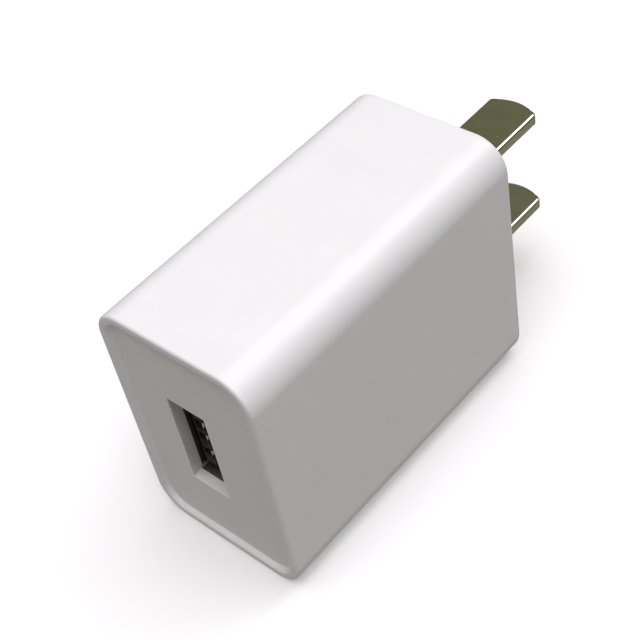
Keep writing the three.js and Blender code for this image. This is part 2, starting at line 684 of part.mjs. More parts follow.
/** A hollow block along the local X axis, given as half sizes outside and inside. */
function frameX(halfLength, outer, inner, height) {
  const block = (half, run) =>
    box([-halfLength - run, -half[0], height - half[1]], [halfLength + run, half[0], height + half[1]]);
  return cut(block(outer, 0), block(inner, OVERRUN));
}

/** The transformer: bobbin, winding, core halves, core tape and pins. */
function transformer() {
  const bore = [CORE_CENTRE_LEG / 2 + BOBBIN_CLEAR, CORE_DEPTH / 2 + BOBBIN_CLEAR];
  const tube = bore.map((half) => half + BOBBIN_WALL);
  const wound = tube.map((half) => half + FIT + WINDING_DEPTH);
  const windowHalf = CORE_LENGTH / 2 - CORE_BACK - BOBBIN_CLEAR;
  const flange = [CORE_WIDTH / 2 - CORE_OUTER_LEG - BOBBIN_CLEAR, wound[1] + 0.25];
  const middle = flange[1] + STAND_OFF; // height of the core's middle above the board
  const railTop = middle - CORE_DEPTH / 2 - BOBBIN_CLEAR;
  let bobbin = frameX(windowHalf, tube, bore, middle);
  for (const side of [-1, 1]) {
    const span = [side * windowHalf, side * (windowHalf - BOBBIN_FLANGE)].sort((a, b) => a - b);
    const plate = cut(
      box([span[0], -flange[0], middle - flange[1]], [span[1], flange[0], middle + flange[1]]),
      box([span[0] - OVERRUN, -bore[0], middle - bore[1]], [span[1] + OVERRUN, bore[0], middle + bore[1]]),
    );
    const rail = [side * (windowHalf - BOBBIN_FLANGE), side * (CORE_LENGTH / 2 + PIN_RAIL_OVERHANG)];
    rail.sort((a, b) => a - b);
    bobbin = join(bobbin, plate, box([rail[0], -flange[0], STAND_OFF], [rail[1], flange[0], railTop]));
  }
  const halfWinding = windowHalf - BOBBIN_FLANGE - FIT;
  const winding = frameX(halfWinding, wound, tube.map((half) => half + FIT), middle);
  const [ringX, ringY] = [CORE_LENGTH + 2 * FIT, CORE_WIDTH + 2 * FIT];
  const loop = (grow) => roundedOutline(ringX + 2 * grow, ringY + 2 * grow, 0.3 + grow, [0, 0], 2);
  const [tapeLow, tapeHigh] = [middle - TAPE_WIDTH / 2, middle + TAPE_WIDTH / 2];
  const tape = cut(
    prismZ(loop(TAPE_THICKNESS), tapeLow, tapeHigh),
    prismZ(rectangle(ringX, ringY), tapeLow - OVERRUN, tapeHigh + OVERRUN),
  );
  const pins = [];
  for (const [label, side] of [
    ["rear", 1],
    ["front", -1],
  ]) {
    for (let i = 0; i < PINS_A_SIDE; i++) {
      const x = side * (CORE_LENGTH / 2 + PIN_RAIL_OVERHANG / 3);
      const y = (i - (PINS_A_SIDE - 1) / 2) * PIN_PITCH;
      const pin = uprightWire(x, y, -BOARD_THICKNESS - LEG_TAIL, STAND_OFF - FIT);
      const mesh = piece(`transformer_pin_${label}_${i + 1}`, pin, TIN);
      pins.push(seat(mesh, TRANSFORMER_Y, TRANSFORMER_Z));
      boardHoles.push(uprightWire(TRANSFORMER_Y + x, TRANSFORMER_Z + y, -BOARD_THICKNESS - 1, 1, LEG_HOLE));
    }
  }
  return [
    coreHalf("transformer_core_rear", 1, middle),
    coreHalf("transformer_core_front", -1, middle),
    seat(piece("transformer_bobbin", bobbin, MOULD_BLACK), TRANSFORMER_Y, TRANSFORMER_Z),
    seat(piece("transformer_winding", winding, TAPE_YELLOW), TRANSFORMER_Y, TRANSFORMER_Z),
    seat(piece("transformer_core_tape", tape, TAPE_YELLOW), TRANSFORMER_Y, TRANSFORMER_Z),
    ...pins,
  ];
}

/** An axial choke lying on the board. */
function filterInductor(x) {
  const { radius, length, wireRun } = INDUCTOR;
  const half = length / 2;
  const height = STAND_OFF + radius;
  const form = turned([
    [0, -half],
    [radius - 0.5, -half],
    [radius, -half + 0.5],
    [radius, -half + 1.4],
    [radius - 0.35, -half + 1.8],
    [radius - 0.35, half - 1.8],
    [radius, half - 1.4],
    [radius, half - 0.5],
    [radius - 0.5, half],
    [0, half],
  ]);
  const body = solidOf(form.rotateZ(Math.PI / 2).translate(0, 0, height));
  const reach = half + wireRun;
  const legs = [
    [-reach, 0],
    [reach, 0],
  ];
  const wire = flatWire(-reach - LEG_RADIUS, reach + LEG_RADIUS, 0, height);
  const feet = legs.map(([dx]) => uprightWire(dx, 0, -BOARD_THICKNESS - LEG_TAIL, height));
  return seat(piece("filter_inductor", join(body, wire, ...feet), SLEEVE_GREEN), x, ALLEY_Z, legs);
}

/** The fusible resistor, standing on end with its upper wire folded down. */
function fusibleResistor(x) {
  const { radius, length, fold } = FUSE_RESISTOR;
  const top = STAND_OFF + length;
  const ridge = top + FUSE_RESISTOR.arch;
  const body = turnedUpright([
    [0, STAND_OFF],
    [radius - 0.6, STAND_OFF],
    [radius, STAND_OFF + 0.5],
    [radius, STAND_OFF + 1.5],
    [radius - 0.2, STAND_OFF + 1.9],
    [radius - 0.2, top - 1.9],
    [radius, top - 1.5],
    [radius, top - 0.5],
    [radius - 0.6, top],
    [0, top],
  ]);
  const legs = [
    [0, 0],
    [-radius - fold, 0],
  ];
  const arch = flatWire(-radius - fold - LEG_RADIUS, LEG_RADIUS, 0, ridge);
  const rise = uprightWire(0, 0, top - ROOT, ridge);
  const drop = uprightWire(-radius - fold, 0, -BOARD_THICKNESS - LEG_TAIL, ridge);
  const solid = join(body, legSolids([legs[0]])[0], rise, arch, drop);
  return seat(piece("fusible_resistor", solid, RESISTOR_GREEN), x, ALLEY_Z, legs);
}

/** The disc capacitor between the mains side and the output side; it stands across the board. */
function yCapacitor(x, y) {
  const { radius, thickness, pitch, rise } = Y_CAPACITOR;
  const half = thickness / 2;
  const height = STAND_OFF + radius + rise;
  const form = turned([
    [0, -half],
    [radius * 0.7, -half],
    [radius, -half * 0.4],
    [radius, half * 0.4],
    [radius * 0.7, half],
    [0, half],
  ]);
  const disc = solidOf(form.rotateZ(Math.PI / 2).translate(0, 0, height));
  const legs = [
    [0, -pitch / 2],
    [0, pitch / 2],
  ];
  const feet = legs.map(([, dy]) => uprightWire(0, dy, -BOARD_THICKNESS - LEG_TAIL, height));
  return seat(piece("y_capacitor", join(disc, ...feet), CERAMIC_BLUE), x, y, legs);
}

/** A moulded chip with bent leads along its two long sides. */
function leadedChip(name, { length, width, height, leads, pitch, leadWidth }, x, y) {
  const level = (inset, y) => ({ outline: rectangle(length - 2 * inset, width - 2 * inset), y });
  const skin = loftGeometry([level(CHIP_DRAFT, 0.1), level(0, height / 2), level(CHIP_DRAFT, height)]);
  const body = solidOf(skin.rotateX(Math.PI / 2));
  const feet = [];
  for (let i = 0; i < leads; i++) {
    const at = (i - (leads - 1) / 2) * pitch;
    for (const side of [-1, 1]) {
      const line = [
        [side * (width / 2 - ROOT), height / 2],
        [side * (width / 2 + 0.25), height / 2],
        [side * (width / 2 + 0.45), 0.12],
        [side * (width / 2 + 1), 0.12],
      ];
      feet.push(prismX(stripOutline(line, 0.2), at - leadWidth / 2, at + leadWidth / 2));
    }
  }
  return seatBelow(piece(name, join(body, ...feet), CHIP_BLACK), x, y);
}

/** A two-ended chip resistor or capacitor. */
function chip(name, [length, width, height], x, y, material) {
  const [halfLength, halfWidth] = [length / 2, width / 2 + CHIP_END_PROUD];
  const [end, top] = [halfLength - CHIP_END, height + CHIP_END_PROUD];
  const body = join(
    box([-halfLength, -width / 2, 0], [halfLength, width / 2, height]),
    box([-halfLength, -halfWidth, 0], [-end, halfWidth, top]),
    box([end, -halfWidth, 0], [halfLength, halfWidth, top]),
  );
  return seatBelow(piece(name, body, material), x, y);
}

/** The board itself, with a hole for every leg, lead and shell leg. */
function circuitBoard() {
  const plate = box(
    [BOARD_FRONT, INNER_BOTTOM + SLIDE, -BOARD_THICKNESS],
    [BOARD_REAR, INNER_TOP - SLIDE, 0],
  );
  const [low, high] = [-BOARD_THICKNESS - OVERRUN, OVERRUN];
  const slots = [-1, 1].map((side) => {
    const middle = side * (SHELL_HEIGHT + SHELL_SHEET) * 0.5;
    const half = SHELL_SHEET / 2 + SLIDE;
    const [y0, y1] = SHELL_LEG.map((at) => MOUTH_Y + at);
    return box([y0 - SLIDE, middle - half, low], [y1 + SLIDE, middle + half, high]);
  });
  const bend = BASE_END + TAIL_BEND;
  const tailHalf = CONTACT_TAIL_WIDTH / 2 + SLIDE;
  const tails = Object.values(CONTACT_ROWS).map((row) =>
    box([bend - SPACE, row - tailHalf, low], [bend + SPACE, row + tailHalf, high]),
  );
  return piece("circuit_board", cut(plate, ...slots, ...tails, ...boardHoles), BOARD_GREEN);
}

/** The film between the board's soldered side and the case. */
function insulationSheet() {
  const x = -INNER_WIDTH / 2 + SLIDE;
  const half = INNER_HEIGHT / 2 - (CASE_CORNER - CASE_WALL);
  return box(
    [x, BOARD_FRONT + SPACE, CASE_RISE - half],
    [x + SHEET_THICKNESS, BOARD_REAR - SPACE, CASE_RISE + half],
  );
}

/** The board group with everything that stands on it. */
function boardAssembly() {
  const board = new THREE.Group();
  board.quaternion.set(0.5, 0.5, 0.5, 0.5); // turns X to Y, Y to Z and Z to X
  board.position.x = BOARD_FACE;
  const capRear = POWER_REAR - INPUT_CAP.radius;
  const capFront = capRear - 2 * INPUT_CAP.radius - SPACE;
  const yCapX = capFront - INPUT_CAP.radius - SPACE - Y_CAPACITOR.thickness / 2;
  const yCapZ = RAIL_TOP - SPACE - Y_CAPACITOR.radius;
  const outputX = yCapX - Y_CAPACITOR.thickness / 2 - SPACE - OUTPUT_CAP.radius;
  const outputZ = RAIL_TOP - SPACE - OUTPUT_CAP.radius;
  const shellEdge = SHELL_HEIGHT / 2 + SHELL_SHEET;
  const polymerZ = (RAIL_BOTTOM - shellEdge) / 2;
  board.add(
    ...transformer(),
    capacitor("input_capacitor_rear", INPUT_CAP, capRear, INPUT_CAP_Z, SLEEVE_BLUE),
    capacitor("input_capacitor_front", INPUT_CAP, capFront, INPUT_CAP_Z, SLEEVE_BLUE),
    capacitor("output_capacitor", OUTPUT_CAP, outputX, outputZ, SLEEVE_GREEN),
    capacitor("output_polymer_capacitor", POLYMER_CAP, outputX, polymerZ, ALUMINIUM),
  );
  const fuseX = POWER_REAR - FUSE_RESISTOR.radius;
  const fuseReach = FUSE_RESISTOR.radius + FUSE_RESISTOR.fold;
  const inductorX = fuseX - fuseReach - INDUCTOR.length / 2 - INDUCTOR.wireRun - 3 * LEG_RADIUS;
  board.add(fusibleResistor(fuseX), filterInductor(inductorX), yCapacitor(yCapX, yCapZ));
  const lowRow = TRANSFORMER_Z - CHIP_ROW;
  const bridge = { length: 4.7, width: 3.8, height: 1.45, leads: 2, pitch: 2.5, leadWidth: 0.6 };
  const controller = { length: 4.9, width: 3.9, height: 1.5, leads: 4, pitch: 1.27, leadWidth: 0.42 };
  const diode = { length: 2.6, width: 4.2, height: 2.1, leads: 1, pitch: 0, leadWidth: 1.4 };
  board.add(
    leadedChip("bridge_rectifier", bridge, inductorX, (ALLEY_Z + INPUT_CAP_Z) / 2 - 0.3),
    leadedChip("controller_chip", controller, TRANSFORMER_Y, TRANSFORMER_Z),
    leadedChip("snubber_diode", diode, TRANSFORMER_Y - 4.1, TRANSFORMER_Z),
    leadedChip("output_diode", diode, BASE_END - 3, 0),
    chip("snubber_resistor", RESISTOR_CHIP, TRANSFORMER_Y, TRANSFORMER_Z + CHIP_ROW, CHIP_BLACK),
    chip("snubber_capacitor", CAPACITOR_CHIP, TRANSFORMER_Y, lowRow, CHIP_TAN),
    chip("start_resistor", RESISTOR_CHIP, capFront - 0.5, INPUT_CAP_Z - 2.6, CHIP_BLACK),
    chip("feedback_resistor", SMALL_RESISTOR_CHIP, TRANSFORMER_Y - 3.6, lowRow, CHIP_BLACK),
    chip("bias_capacitor", SMALL_CAPACITOR_CHIP, TRANSFORMER_Y + 3.6, lowRow, CHIP_TAN),
    chip("data_resistor", SMALL_RESISTOR_CHIP, MOUTH_Y + SHELL_LEG[0], SHELL_HEIGHT / 4, CHIP_BLACK),
    chip("output_resistor", SMALL_RESISTOR_CHIP, MOUTH_Y + SHELL_LEG[0], -SHELL_HEIGHT / 4, CHIP_BLACK),
  );
  board.add(circuitBoard());
  return board;
}

// ---- The charger ----

const charger = new THREE.Group();
charger.add(
  piece("housing", housing(), WHITE_PLASTIC),
  piece("front_panel", frontPanel(), WHITE_PLASTIC),
  blade("live_blade", BLADE_SPACING / 2),
  blade("neutral_blade", -BLADE_SPACING / 2),
  piece("blade_retainer", bladeRetainer(), PALE_PLASTIC),
  contactSpring("live_contact_spring", 1),
  contactSpring("neutral_contact_spring", -1),
  piece("usb_shell", usbShell(), TIN),
  ...Object.entries(FINGER_ROWS).map(([label, row]) =>
    piece(`usb_shell_finger_${label}`, shellFinger(row), TIN),
  ),
  piece("usb_insulator", usbInsulator(), BLACK_PLASTIC),
  ...Object.entries(CONTACT_ROWS).flatMap(([label, row]) => [
    piece(`usb_contact_${label}`, contactBeam(row), BRONZE),
    piece(`usb_tail_${label}`, contactTail(row), BRONZE),
  ]),
  piece("insulation_sheet", insulationSheet(), FILM),
  boardAssembly(),
);

export default charger;
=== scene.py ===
"""A white USB wall charger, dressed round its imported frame: case, blades, USB-A port and circuit board."""

import logging
import math
from collections.abc import Callable, Iterable, Sequence
from dataclasses import dataclass, field
from enum import Enum

import bmesh
import bpy
from mathutils import Matrix, Vector


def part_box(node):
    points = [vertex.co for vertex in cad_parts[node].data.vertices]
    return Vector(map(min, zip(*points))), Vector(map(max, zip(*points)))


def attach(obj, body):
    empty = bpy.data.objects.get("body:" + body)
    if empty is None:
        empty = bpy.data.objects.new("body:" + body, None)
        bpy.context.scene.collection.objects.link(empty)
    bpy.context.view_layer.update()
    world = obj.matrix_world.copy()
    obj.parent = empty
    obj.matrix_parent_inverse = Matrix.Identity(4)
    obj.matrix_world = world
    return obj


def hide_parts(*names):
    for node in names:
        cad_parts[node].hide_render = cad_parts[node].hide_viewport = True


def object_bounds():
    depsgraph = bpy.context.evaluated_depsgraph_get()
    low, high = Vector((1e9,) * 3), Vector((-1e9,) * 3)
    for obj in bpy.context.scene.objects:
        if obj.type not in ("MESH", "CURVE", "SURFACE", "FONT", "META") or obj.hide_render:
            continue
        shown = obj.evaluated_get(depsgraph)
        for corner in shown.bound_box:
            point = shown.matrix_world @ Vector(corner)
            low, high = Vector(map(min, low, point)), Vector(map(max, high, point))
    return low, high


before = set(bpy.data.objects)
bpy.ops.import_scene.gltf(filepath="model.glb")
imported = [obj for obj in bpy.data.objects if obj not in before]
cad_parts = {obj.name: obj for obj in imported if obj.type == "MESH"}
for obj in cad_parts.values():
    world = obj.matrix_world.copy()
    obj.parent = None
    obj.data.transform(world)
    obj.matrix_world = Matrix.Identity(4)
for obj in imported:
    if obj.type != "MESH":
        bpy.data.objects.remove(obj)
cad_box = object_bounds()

LOG = logging.getLogger("charger")
MM = 0.001
SMOOTH_BELOW = math.radians(32)
FLAT_BELOW = math.radians(0.5)
SAME_PLACE = 1e-7
SKIN_DEPTH = 0.01 * MM
EDGE_STEPS = 2
NOISE_LOW, NOISE_HIGH = 0.3, 0.7
CHARGER = "charger"
Point = tuple[float, float, float]
Colour = tuple[float, float, float]
Where = Callable[[Vector], bool]


class Slot(Enum):
    """Names of the material slots."""

    CASE = "case_white"
    RETAINER = "retainer_white"
    BLADE = "blade_nickel"
    TIN = "tinned_steel"
    BRONZE = "spring_bronze"
    PORT = "port_black"
    BOARD = "board_green"
    FILM = "film_clear"
    FERRITE = "ferrite"
    BOBBIN = "bobbin_black"
    TAPE = "tape_yellow"
    SLEEVE_BLUE = "sleeve_blue"
    SLEEVE_GREEN = "sleeve_green"
    CAN = "can_aluminium"
    DISC = "ceramic_blue"
    RESISTOR = "resistor_green"
    CHIP = "chip_black"
    CERAMIC = "chip_tan"


class Surface(Enum):
    """What a finish does to a surface besides its colour."""

    MOULDED = "moulded"
    BRUSHED = "brushed"
    GRANULAR = "granular"
    WRAPPED = "wrapped"


# ---- Finishes ----


@dataclass(frozen=True)
class Finish:
    """A procedural finish: a base colour that drifts a little, with fine relief and uneven gloss."""

    name: str
    colour: Colour
    shade: Colour
    roughness: float
    surface: Surface = Surface.MOULDED
    metallic: float = 0.0
    grain_mm: float = 0.3
    relief: float = 0.05
    wear: float = 0.06
    coat: float = 0.0
    coat_gloss: float = 0.5
    subsurface: float = 0.0
    speck: Colour | None = None
    speck_gap_mm: float = 1.6
    speck_core: float = 0.05
    speck_edge: float = 0.12
    drift_mm: float = 4.0
    drift_detail: int = 3
    scuff_mm: float = 1.1
    scuff_detail: int = 5
    grain_detail: int = 2
    relief_depth_mm: float = 0.05
    glow_depth_mm: float = 0.5
    brush_stretch: float = 0.08
    lap_width: float = 6.0
    lap_waver: float = 0.6

    def material(self) -> bpy.types.Material:
        """Return the finish as a material, made once.

        Returns:
            The node material.
        """
        known = bpy.data.materials.get(self.name)
        if known:
            return known
        made = bpy.data.materials.new(self.name)
        made.use_nodes = True
        tree = made.node_tree
        shader = tree.nodes["Principled BSDF"]
        shader.inputs["Metallic"].default_value = self.metallic
        shader.inputs["Coat Weight"].default_value = self.coat
        shader.inputs["Coat Roughness"].default_value = self.roughness * self.coat_gloss
        shader.inputs["Subsurface Weight"].default_value = self.subsurface
        shader.inputs["Subsurface Scale"].default_value = self.glow_depth_mm * MM
        place = self._place(tree)
        drift = self._noise(tree, place, self.drift_mm, self.drift_detail)
        grain = self._grain(tree, place)
        colour = tree.nodes.new("ShaderNodeMix")
        colour.data_type = "RGBA"
        colour.inputs["A"].default_value = (*self.colour, 1.0)
        colour.inputs["B"].default_value = (*self.shade, 1.0)
        tree.links.new(self._spread(tree, drift, 0.0, 1.0), colour.inputs["Factor"])
        tree.links.new(self._speckled(tree, place, colour.outputs["Result"]), shader.inputs["Base Color"])
        low, high = self.roughness - self.wear / 2, self.roughness + self.wear
        scuffs = self._noise(tree, place, self.scuff_mm, self.scuff_detail)
        tree.links.new(self._spread(tree, scuffs, low, high), shader.inputs["Roughness"])
        bump = tree.nodes.new("ShaderNodeBump")
        bump.inputs["Strength"].default_value = self.relief
        bump.inputs["Distance"].default_value = self.relief_depth_mm * MM
        tree.links.new(grain, bump.inputs["Height"])
        tree.links.new(bump.outputs["Normal"], shader.inputs["Normal"])
        return made

    def _place(self, tree: bpy.types.NodeTree) -> bpy.types.NodeSocket:
        """Return the object's own coordinates, drawn out along Y for a brushed surface."""
        place = tree.nodes.new("ShaderNodeTexCoord").outputs["Object"]
        if self.surface is not Surface.BRUSHED:
            return place
        stretch = tree.nodes.new("ShaderNodeMapping")
        stretch.inputs["Scale"].default_value = (1.0, self.brush_stretch, 1.0)
        tree.links.new(place, stretch.inputs["Vector"])
        return stretch.outputs["Vector"]

    def _noise(
        self, tree: bpy.types.NodeTree, place: bpy.types.NodeSocket, size_mm: float, detail: int
    ) -> bpy.types.NodeSocket:
        """Return noise with features of about the given size."""
        noise = tree.nodes.new("ShaderNodeTexNoise")
        noise.inputs["Scale"].default_value = 1.0 / (size_mm * MM)
        noise.inputs["Detail"].default_value = detail
        tree.links.new(place, noise.inputs["Vector"])
        return noise.outputs["Fac"]

    def _grain(self, tree: bpy.types.NodeTree, place: bpy.types.NodeSocket) -> bpy.types.NodeSocket:
        """Return the height of the finish's fine relief."""
        if self.surface is Surface.GRANULAR:
            cells = tree.nodes.new("ShaderNodeTexVoronoi")
            cells.inputs["Scale"].default_value = 1.0 / (self.grain_mm * MM)
            tree.links.new(place, cells.inputs["Vector"])
            return cells.outputs["Distance"]
        if self.surface is Surface.WRAPPED:
            laps = tree.nodes.new("ShaderNodeTexWave")
            laps.bands_direction = "Y"
            laps.wave_profile = "SAW"
            laps.inputs["Scale"].default_value = 1.0 / (self.grain_mm * MM * self.lap_width)
            laps.inputs["Distortion"].default_value = self.lap_waver
            tree.links.new(place, laps.inputs["Vector"])
            return laps.outputs["Fac"]
        return self._noise(tree, place, self.grain_mm, self.grain_detail)

    def _speckled(
        self, tree: bpy.types.NodeTree, place: bpy.types.NodeSocket, colour: bpy.types.NodeSocket
    ) -> bpy.types.NodeSocket:
        """Return the colour with a scatter of tiny specks, if the finish has any.

        Args:
            tree: The material's nodes.
            place: The coordinates.
            colour: The colour under the specks.

        Returns:
            The colour with its specks.
        """
        if self.speck is None:
            return colour
        cells = tree.nodes.new("ShaderNodeTexVoronoi")
        cells.inputs["Scale"].default_value = 1.0 / (self.speck_gap_mm * MM)
        tree.links.new(place, cells.inputs["Vector"])
        dot = tree.nodes.new("ShaderNodeMapRange")
        dot.inputs["From Min"].default_value = self.speck_core
        dot.inputs["From Max"].default_value = self.speck_edge
        dot.inputs["To Min"].default_value = 1.0
        dot.inputs["To Max"].default_value = 0.0
        tree.links.new(cells.outputs["Distance"], dot.inputs["Value"])
        few = tree.nodes.new("ShaderNodeSeparateColor")
        tree.links.new(cells.outputs["Color"], few.inputs["Color"])
        keep = tree.nodes.new("ShaderNodeMath")
        keep.operation = "MULTIPLY"
        tree.links.new(dot.outputs["Result"], keep.inputs[0])
        tree.links.new(few.outputs["Red"], keep.inputs[1])
        mix = tree.nodes.new("ShaderNodeMix")
        mix.data_type = "RGBA"
        mix.inputs["B"].default_value = (*self.speck, 1.0)
        tree.links.new(keep.outputs["Value"], mix.inputs["Factor"])
        tree.links.new(colour, mix.inputs["A"])
        return mix.outputs["Result"]

    @staticmethod
    def _spread(
        tree: bpy.types.NodeTree, value: bpy.types.NodeSocket, low: float, high: float
    ) -> bpy.types.NodeSocket:
        """Return a noise value spread from the range it mostly keeps to out to two limits."""
        spread = tree.nodes.new("ShaderNodeMapRange")
        spread.inputs["From Min"].default_value = NOISE_LOW
        spread.inputs["From Max"].default_value = NOISE_HIGH
        spread.inputs["To Min"].default_value = low
        spread.inputs["To Max"].default_value = high
        tree.links.new(value, spread.inputs["Value"])
        return spread.outputs["Result"]


WHITE_CASE = Finish(
    "case_gloss",
    (0.805, 0.80, 0.805),
    (0.785, 0.78, 0.785),
    0.30,
    grain_mm=0.9,
    relief=0.015,
    wear=0.03,
    subsurface=0.05,
)
WHITE_PANEL = Finish(
    "panel_satin", (0.79, 0.78, 0.76), (0.77, 0.76, 0.74), 0.38, relief=0.03, subsurface=0.05
)
# Painted light: a brighter copy of the panel's white for the walls of the port opening, standing in for light
# that falls into it.
PAINTED_LIGHT_MOUTH = Finish(
    "mouth_painted_light", (0.90, 0.89, 0.87), (0.88, 0.87, 0.85), 0.30, relief=0.02, subsurface=0.05
)
PALE_MOULDING = Finish("retainer_moulding", (0.74, 0.73, 0.68), (0.68, 0.67, 0.62), 0.5)
NICKEL = Finish(
    "blade_plating",
    (0.46, 0.45, 0.27),
    (0.41, 0.40, 0.23),
    0.16,
    metallic=1.0,
    grain_mm=0.12,
    relief=0.02,
    wear=0.05,
    speck=(0.9, 0.9, 0.8),
    speck_gap_mm=0.9,
)
# Painted highlight: a pale, glossier copy of the nickel for the band round each flat of a blade, standing in
# for the white line that light draws along the edges.
PAINTED_HIGHLIGHT_EDGE = Finish(
    "edge_painted_highlight", (0.84, 0.83, 0.74), (0.80, 0.79, 0.68), 0.12, metallic=1.0, relief=0.02, wear=0.04
)
TIN = Finish(
    "tin_plating", (0.62, 0.62, 0.60), (0.54, 0.54, 0.52), 0.32, Surface.BRUSHED, 1.0, 0.15, 0.1, 0.1
)
# Painted shade: a dark copy of the tin plating for the faces that look towards the port's axis, where the
# inside of the shell lies in shade.
TIN_PAINTED_SHADE = Finish(
    "tin_painted_shade", (0.11, 0.105, 0.085), (0.09, 0.085, 0.07), 0.5, Surface.BRUSHED, 1.0, 0.15, 0.1
)
BRONZE = Finish(
    "spring_bronze", (0.74, 0.60, 0.42), (0.66, 0.52, 0.34), 0.26, Surface.BRUSHED, 1.0, 0.1, 0.08
)
PALE_BRONZE = Finish(
    "plated_bronze", (0.72, 0.69, 0.60), (0.64, 0.61, 0.52), 0.3, Surface.BRUSHED, 1.0, 0.1, 0.08
)
BLACK_MOULDING = Finish("port_moulding", (0.010, 0.009, 0.006), (0.016, 0.015, 0.011), 0.6)
SOLDER = Finish("solder", (0.60, 0.61, 0.62), (0.50, 0.51, 0.53), 0.22, Surface.MOULDED, 1.0, 0.4, 0.15)
MASK = Finish("solder_mask", (0.02, 0.16, 0.06), (0.015, 0.12, 0.045), 0.3, Surface.GRANULAR, 0.0, 1.3, 0.12)
FILM = Finish("insulating_film", (0.85, 0.81, 0.66), (0.80, 0.76, 0.60), 0.25, relief=0.03)
FERRITE = Finish(
    "ferrite_body", (0.045, 0.045, 0.05), (0.065, 0.065, 0.07), 0.6, Surface.GRANULAR, 0.0, 0.2, 0.25
)
PHENOLIC = Finish("bobbin_moulding", (0.022, 0.022, 0.024), (0.032, 0.031, 0.03), 0.48)
TAPE = Finish(
    "polyester_tape", (0.78, 0.55, 0.07), (0.72, 0.49, 0.05), 0.3, Surface.WRAPPED, relief=0.2, coat=0.3
)
BLUE_SLEEVE = Finish("blue_sleeve", (0.025, 0.045, 0.17), (0.02, 0.035, 0.14), 0.28, coat=0.3)
GREEN_SLEEVE = Finish("green_sleeve", (0.04, 0.13, 0.06), (0.03, 0.11, 0.05), 0.28, coat=0.3)
CAN = Finish("drawn_can", (0.78, 0.79, 0.80), (0.72, 0.73, 0.74), 0.28, Surface.BRUSHED, 1.0, 0.15, 0.08)
DIPPED = Finish("dipped_coating", (0.05, 0.16, 0.48), (0.04, 0.13, 0.40), 0.35, relief=0.12, grain_mm=0.6)
LACQUER = Finish("resistor_lacquer", (0.12, 0.36, 0.20), (0.10, 0.31, 0.17), 0.35, relief=0.08)
EPOXY = Finish(
    "chip_epoxy", (0.016, 0.016, 0.018), (0.028, 0.028, 0.03), 0.5, Surface.GRANULAR, 0.0, 0.12, 0.2
)
FIRED = Finish("fired_ceramic", (0.40, 0.28, 0.17), (0.35, 0.24, 0.14), 0.45)
FLOOR_PAPER = Finish("floor_paper", (0.98, 0.98, 0.98), (0.97, 0.97, 0.97), 0.9)
WALL_PAPER = Finish("wall_paper", (0.9, 0.9, 0.9), (0.88, 0.88, 0.88), 0.9)


# ---- Mesh work ----


def link(name: str, mesh: bpy.types.Mesh) -> bpy.types.Object:
    """Return a new object in the scene that shows the mesh."""
    made = bpy.data.objects.new(name, mesh)
    bpy.context.scene.collection.objects.link(made)
    return made


def ring(width: float, height: float, radius: float, centre: Point, steps: int) -> list[Point]:
    """Return an upright rectangle with round corners, seen along Y.

    Args:
        width: Full size along X.
        height: Full size along Z.
        radius: Corner radius.
        centre: The middle.
        steps: Segments in each corner.

    Returns:
        The points, anticlockwise.
    """
    points = []
    for quarter, (sx, sz) in enumerate(((1, 1), (-1, 1), (-1, -1), (1, -1))):
        for i in range(steps + 1):
            turn = (quarter + i / steps) * math.pi / 2
            x = centre[0] + sx * (width / 2 - radius) + radius * math.cos(turn)
            z = centre[2] + sz * (height / 2 - radius) + radius * math.sin(turn)
            points.append((x, centre[1], z))
    return points


def inset(outline: Sequence[tuple[float, float]], distance: float) -> list[tuple[float, float]]:
    """Return an anticlockwise outline drawn in by a distance."""
    points = []
    for before, here, after in zip((outline[-1], *outline), outline, (*outline[1:], outline[0])):
        into = (Vector(here) - Vector(before)).normalized().orthogonal()
        out = (Vector(after) - Vector(here)).normalized().orthogonal()
        middle = (into + out).normalized()
        points.append(tuple(Vector(here) + middle * distance / middle.dot(into)))
    return points


def skin(name: str, rows: Sequence[Sequence[Point]]) -> bpy.types.Object:
    """Return a closed mesh through rings of points, capped at both ends.

    Args:
        name: The object's name.
        rows: The rings, each with as many points.

    Returns:
        The new object.
    """
    mesh = bmesh.new()
    made = [[mesh.verts.new(point) for point in row] for row in rows]
    for low, high in zip(made, made[1:]):
        for i in range(len(low)):
            j = (i + 1) % len(low)
            mesh.faces.new((low[i], high[i], high[j], low[j]))
    mesh.faces.new(made[0])
    mesh.faces.new(made[-1][::-1])
    bmesh.ops.recalc_face_normals(mesh, faces=mesh.faces)
    data = bpy.data.meshes.new(name)
    mesh.to_mesh(data)
    mesh.free()
    return link(name, data)


def fillet(radius: float, steps: int) -> list[tuple[float, float]]:
    """Return (inset, depth) pairs of a quarter round, from the side onto the face."""
    turns = [i / steps * math.pi / 2 for i in range(steps + 1)]
    return [(radius * (1 - math.cos(t)), radius * (1 - math.sin(t))) for t in turns]


def bend(corners: Sequence[tuple[float, float, float]], steps: int) -> list[tuple[float, float]]:
    """Return a line through corners, each rounded by its own radius.

    Args:
        corners: (u, v, radius) of each corner; the first and last stay sharp.
        steps: Segments in each rounding.

    Returns:
        The points of the line as (u, v).
    """
    points = [corners[0][:2]]
    for before, corner, after in zip(corners, corners[1:], corners[2:]):
        radius = corner[2]
        if radius == 0:
            points.append(corner[:2])
            continue
        at = Vector((*corner[:2], 0.0))
        back = (Vector((*before[:2], 0.0)) - at).normalized()
        onward = (Vector((*after[:2], 0.0)) - at).normalized()
        half = back.angle(onward) / 2
        centre = at + (back + onward).normalized() * radius / math.sin(half)
        start = (at + back * radius / math.tan(half) - centre).normalized()
        end = (at + onward * radius / math.tan(half) - centre).normalized()
        points += [tuple((centre + start.slerp(end, i / steps) * radius)[:2]) for i in range(steps + 1)]
    points.append(corners[-1][:2])
    return points


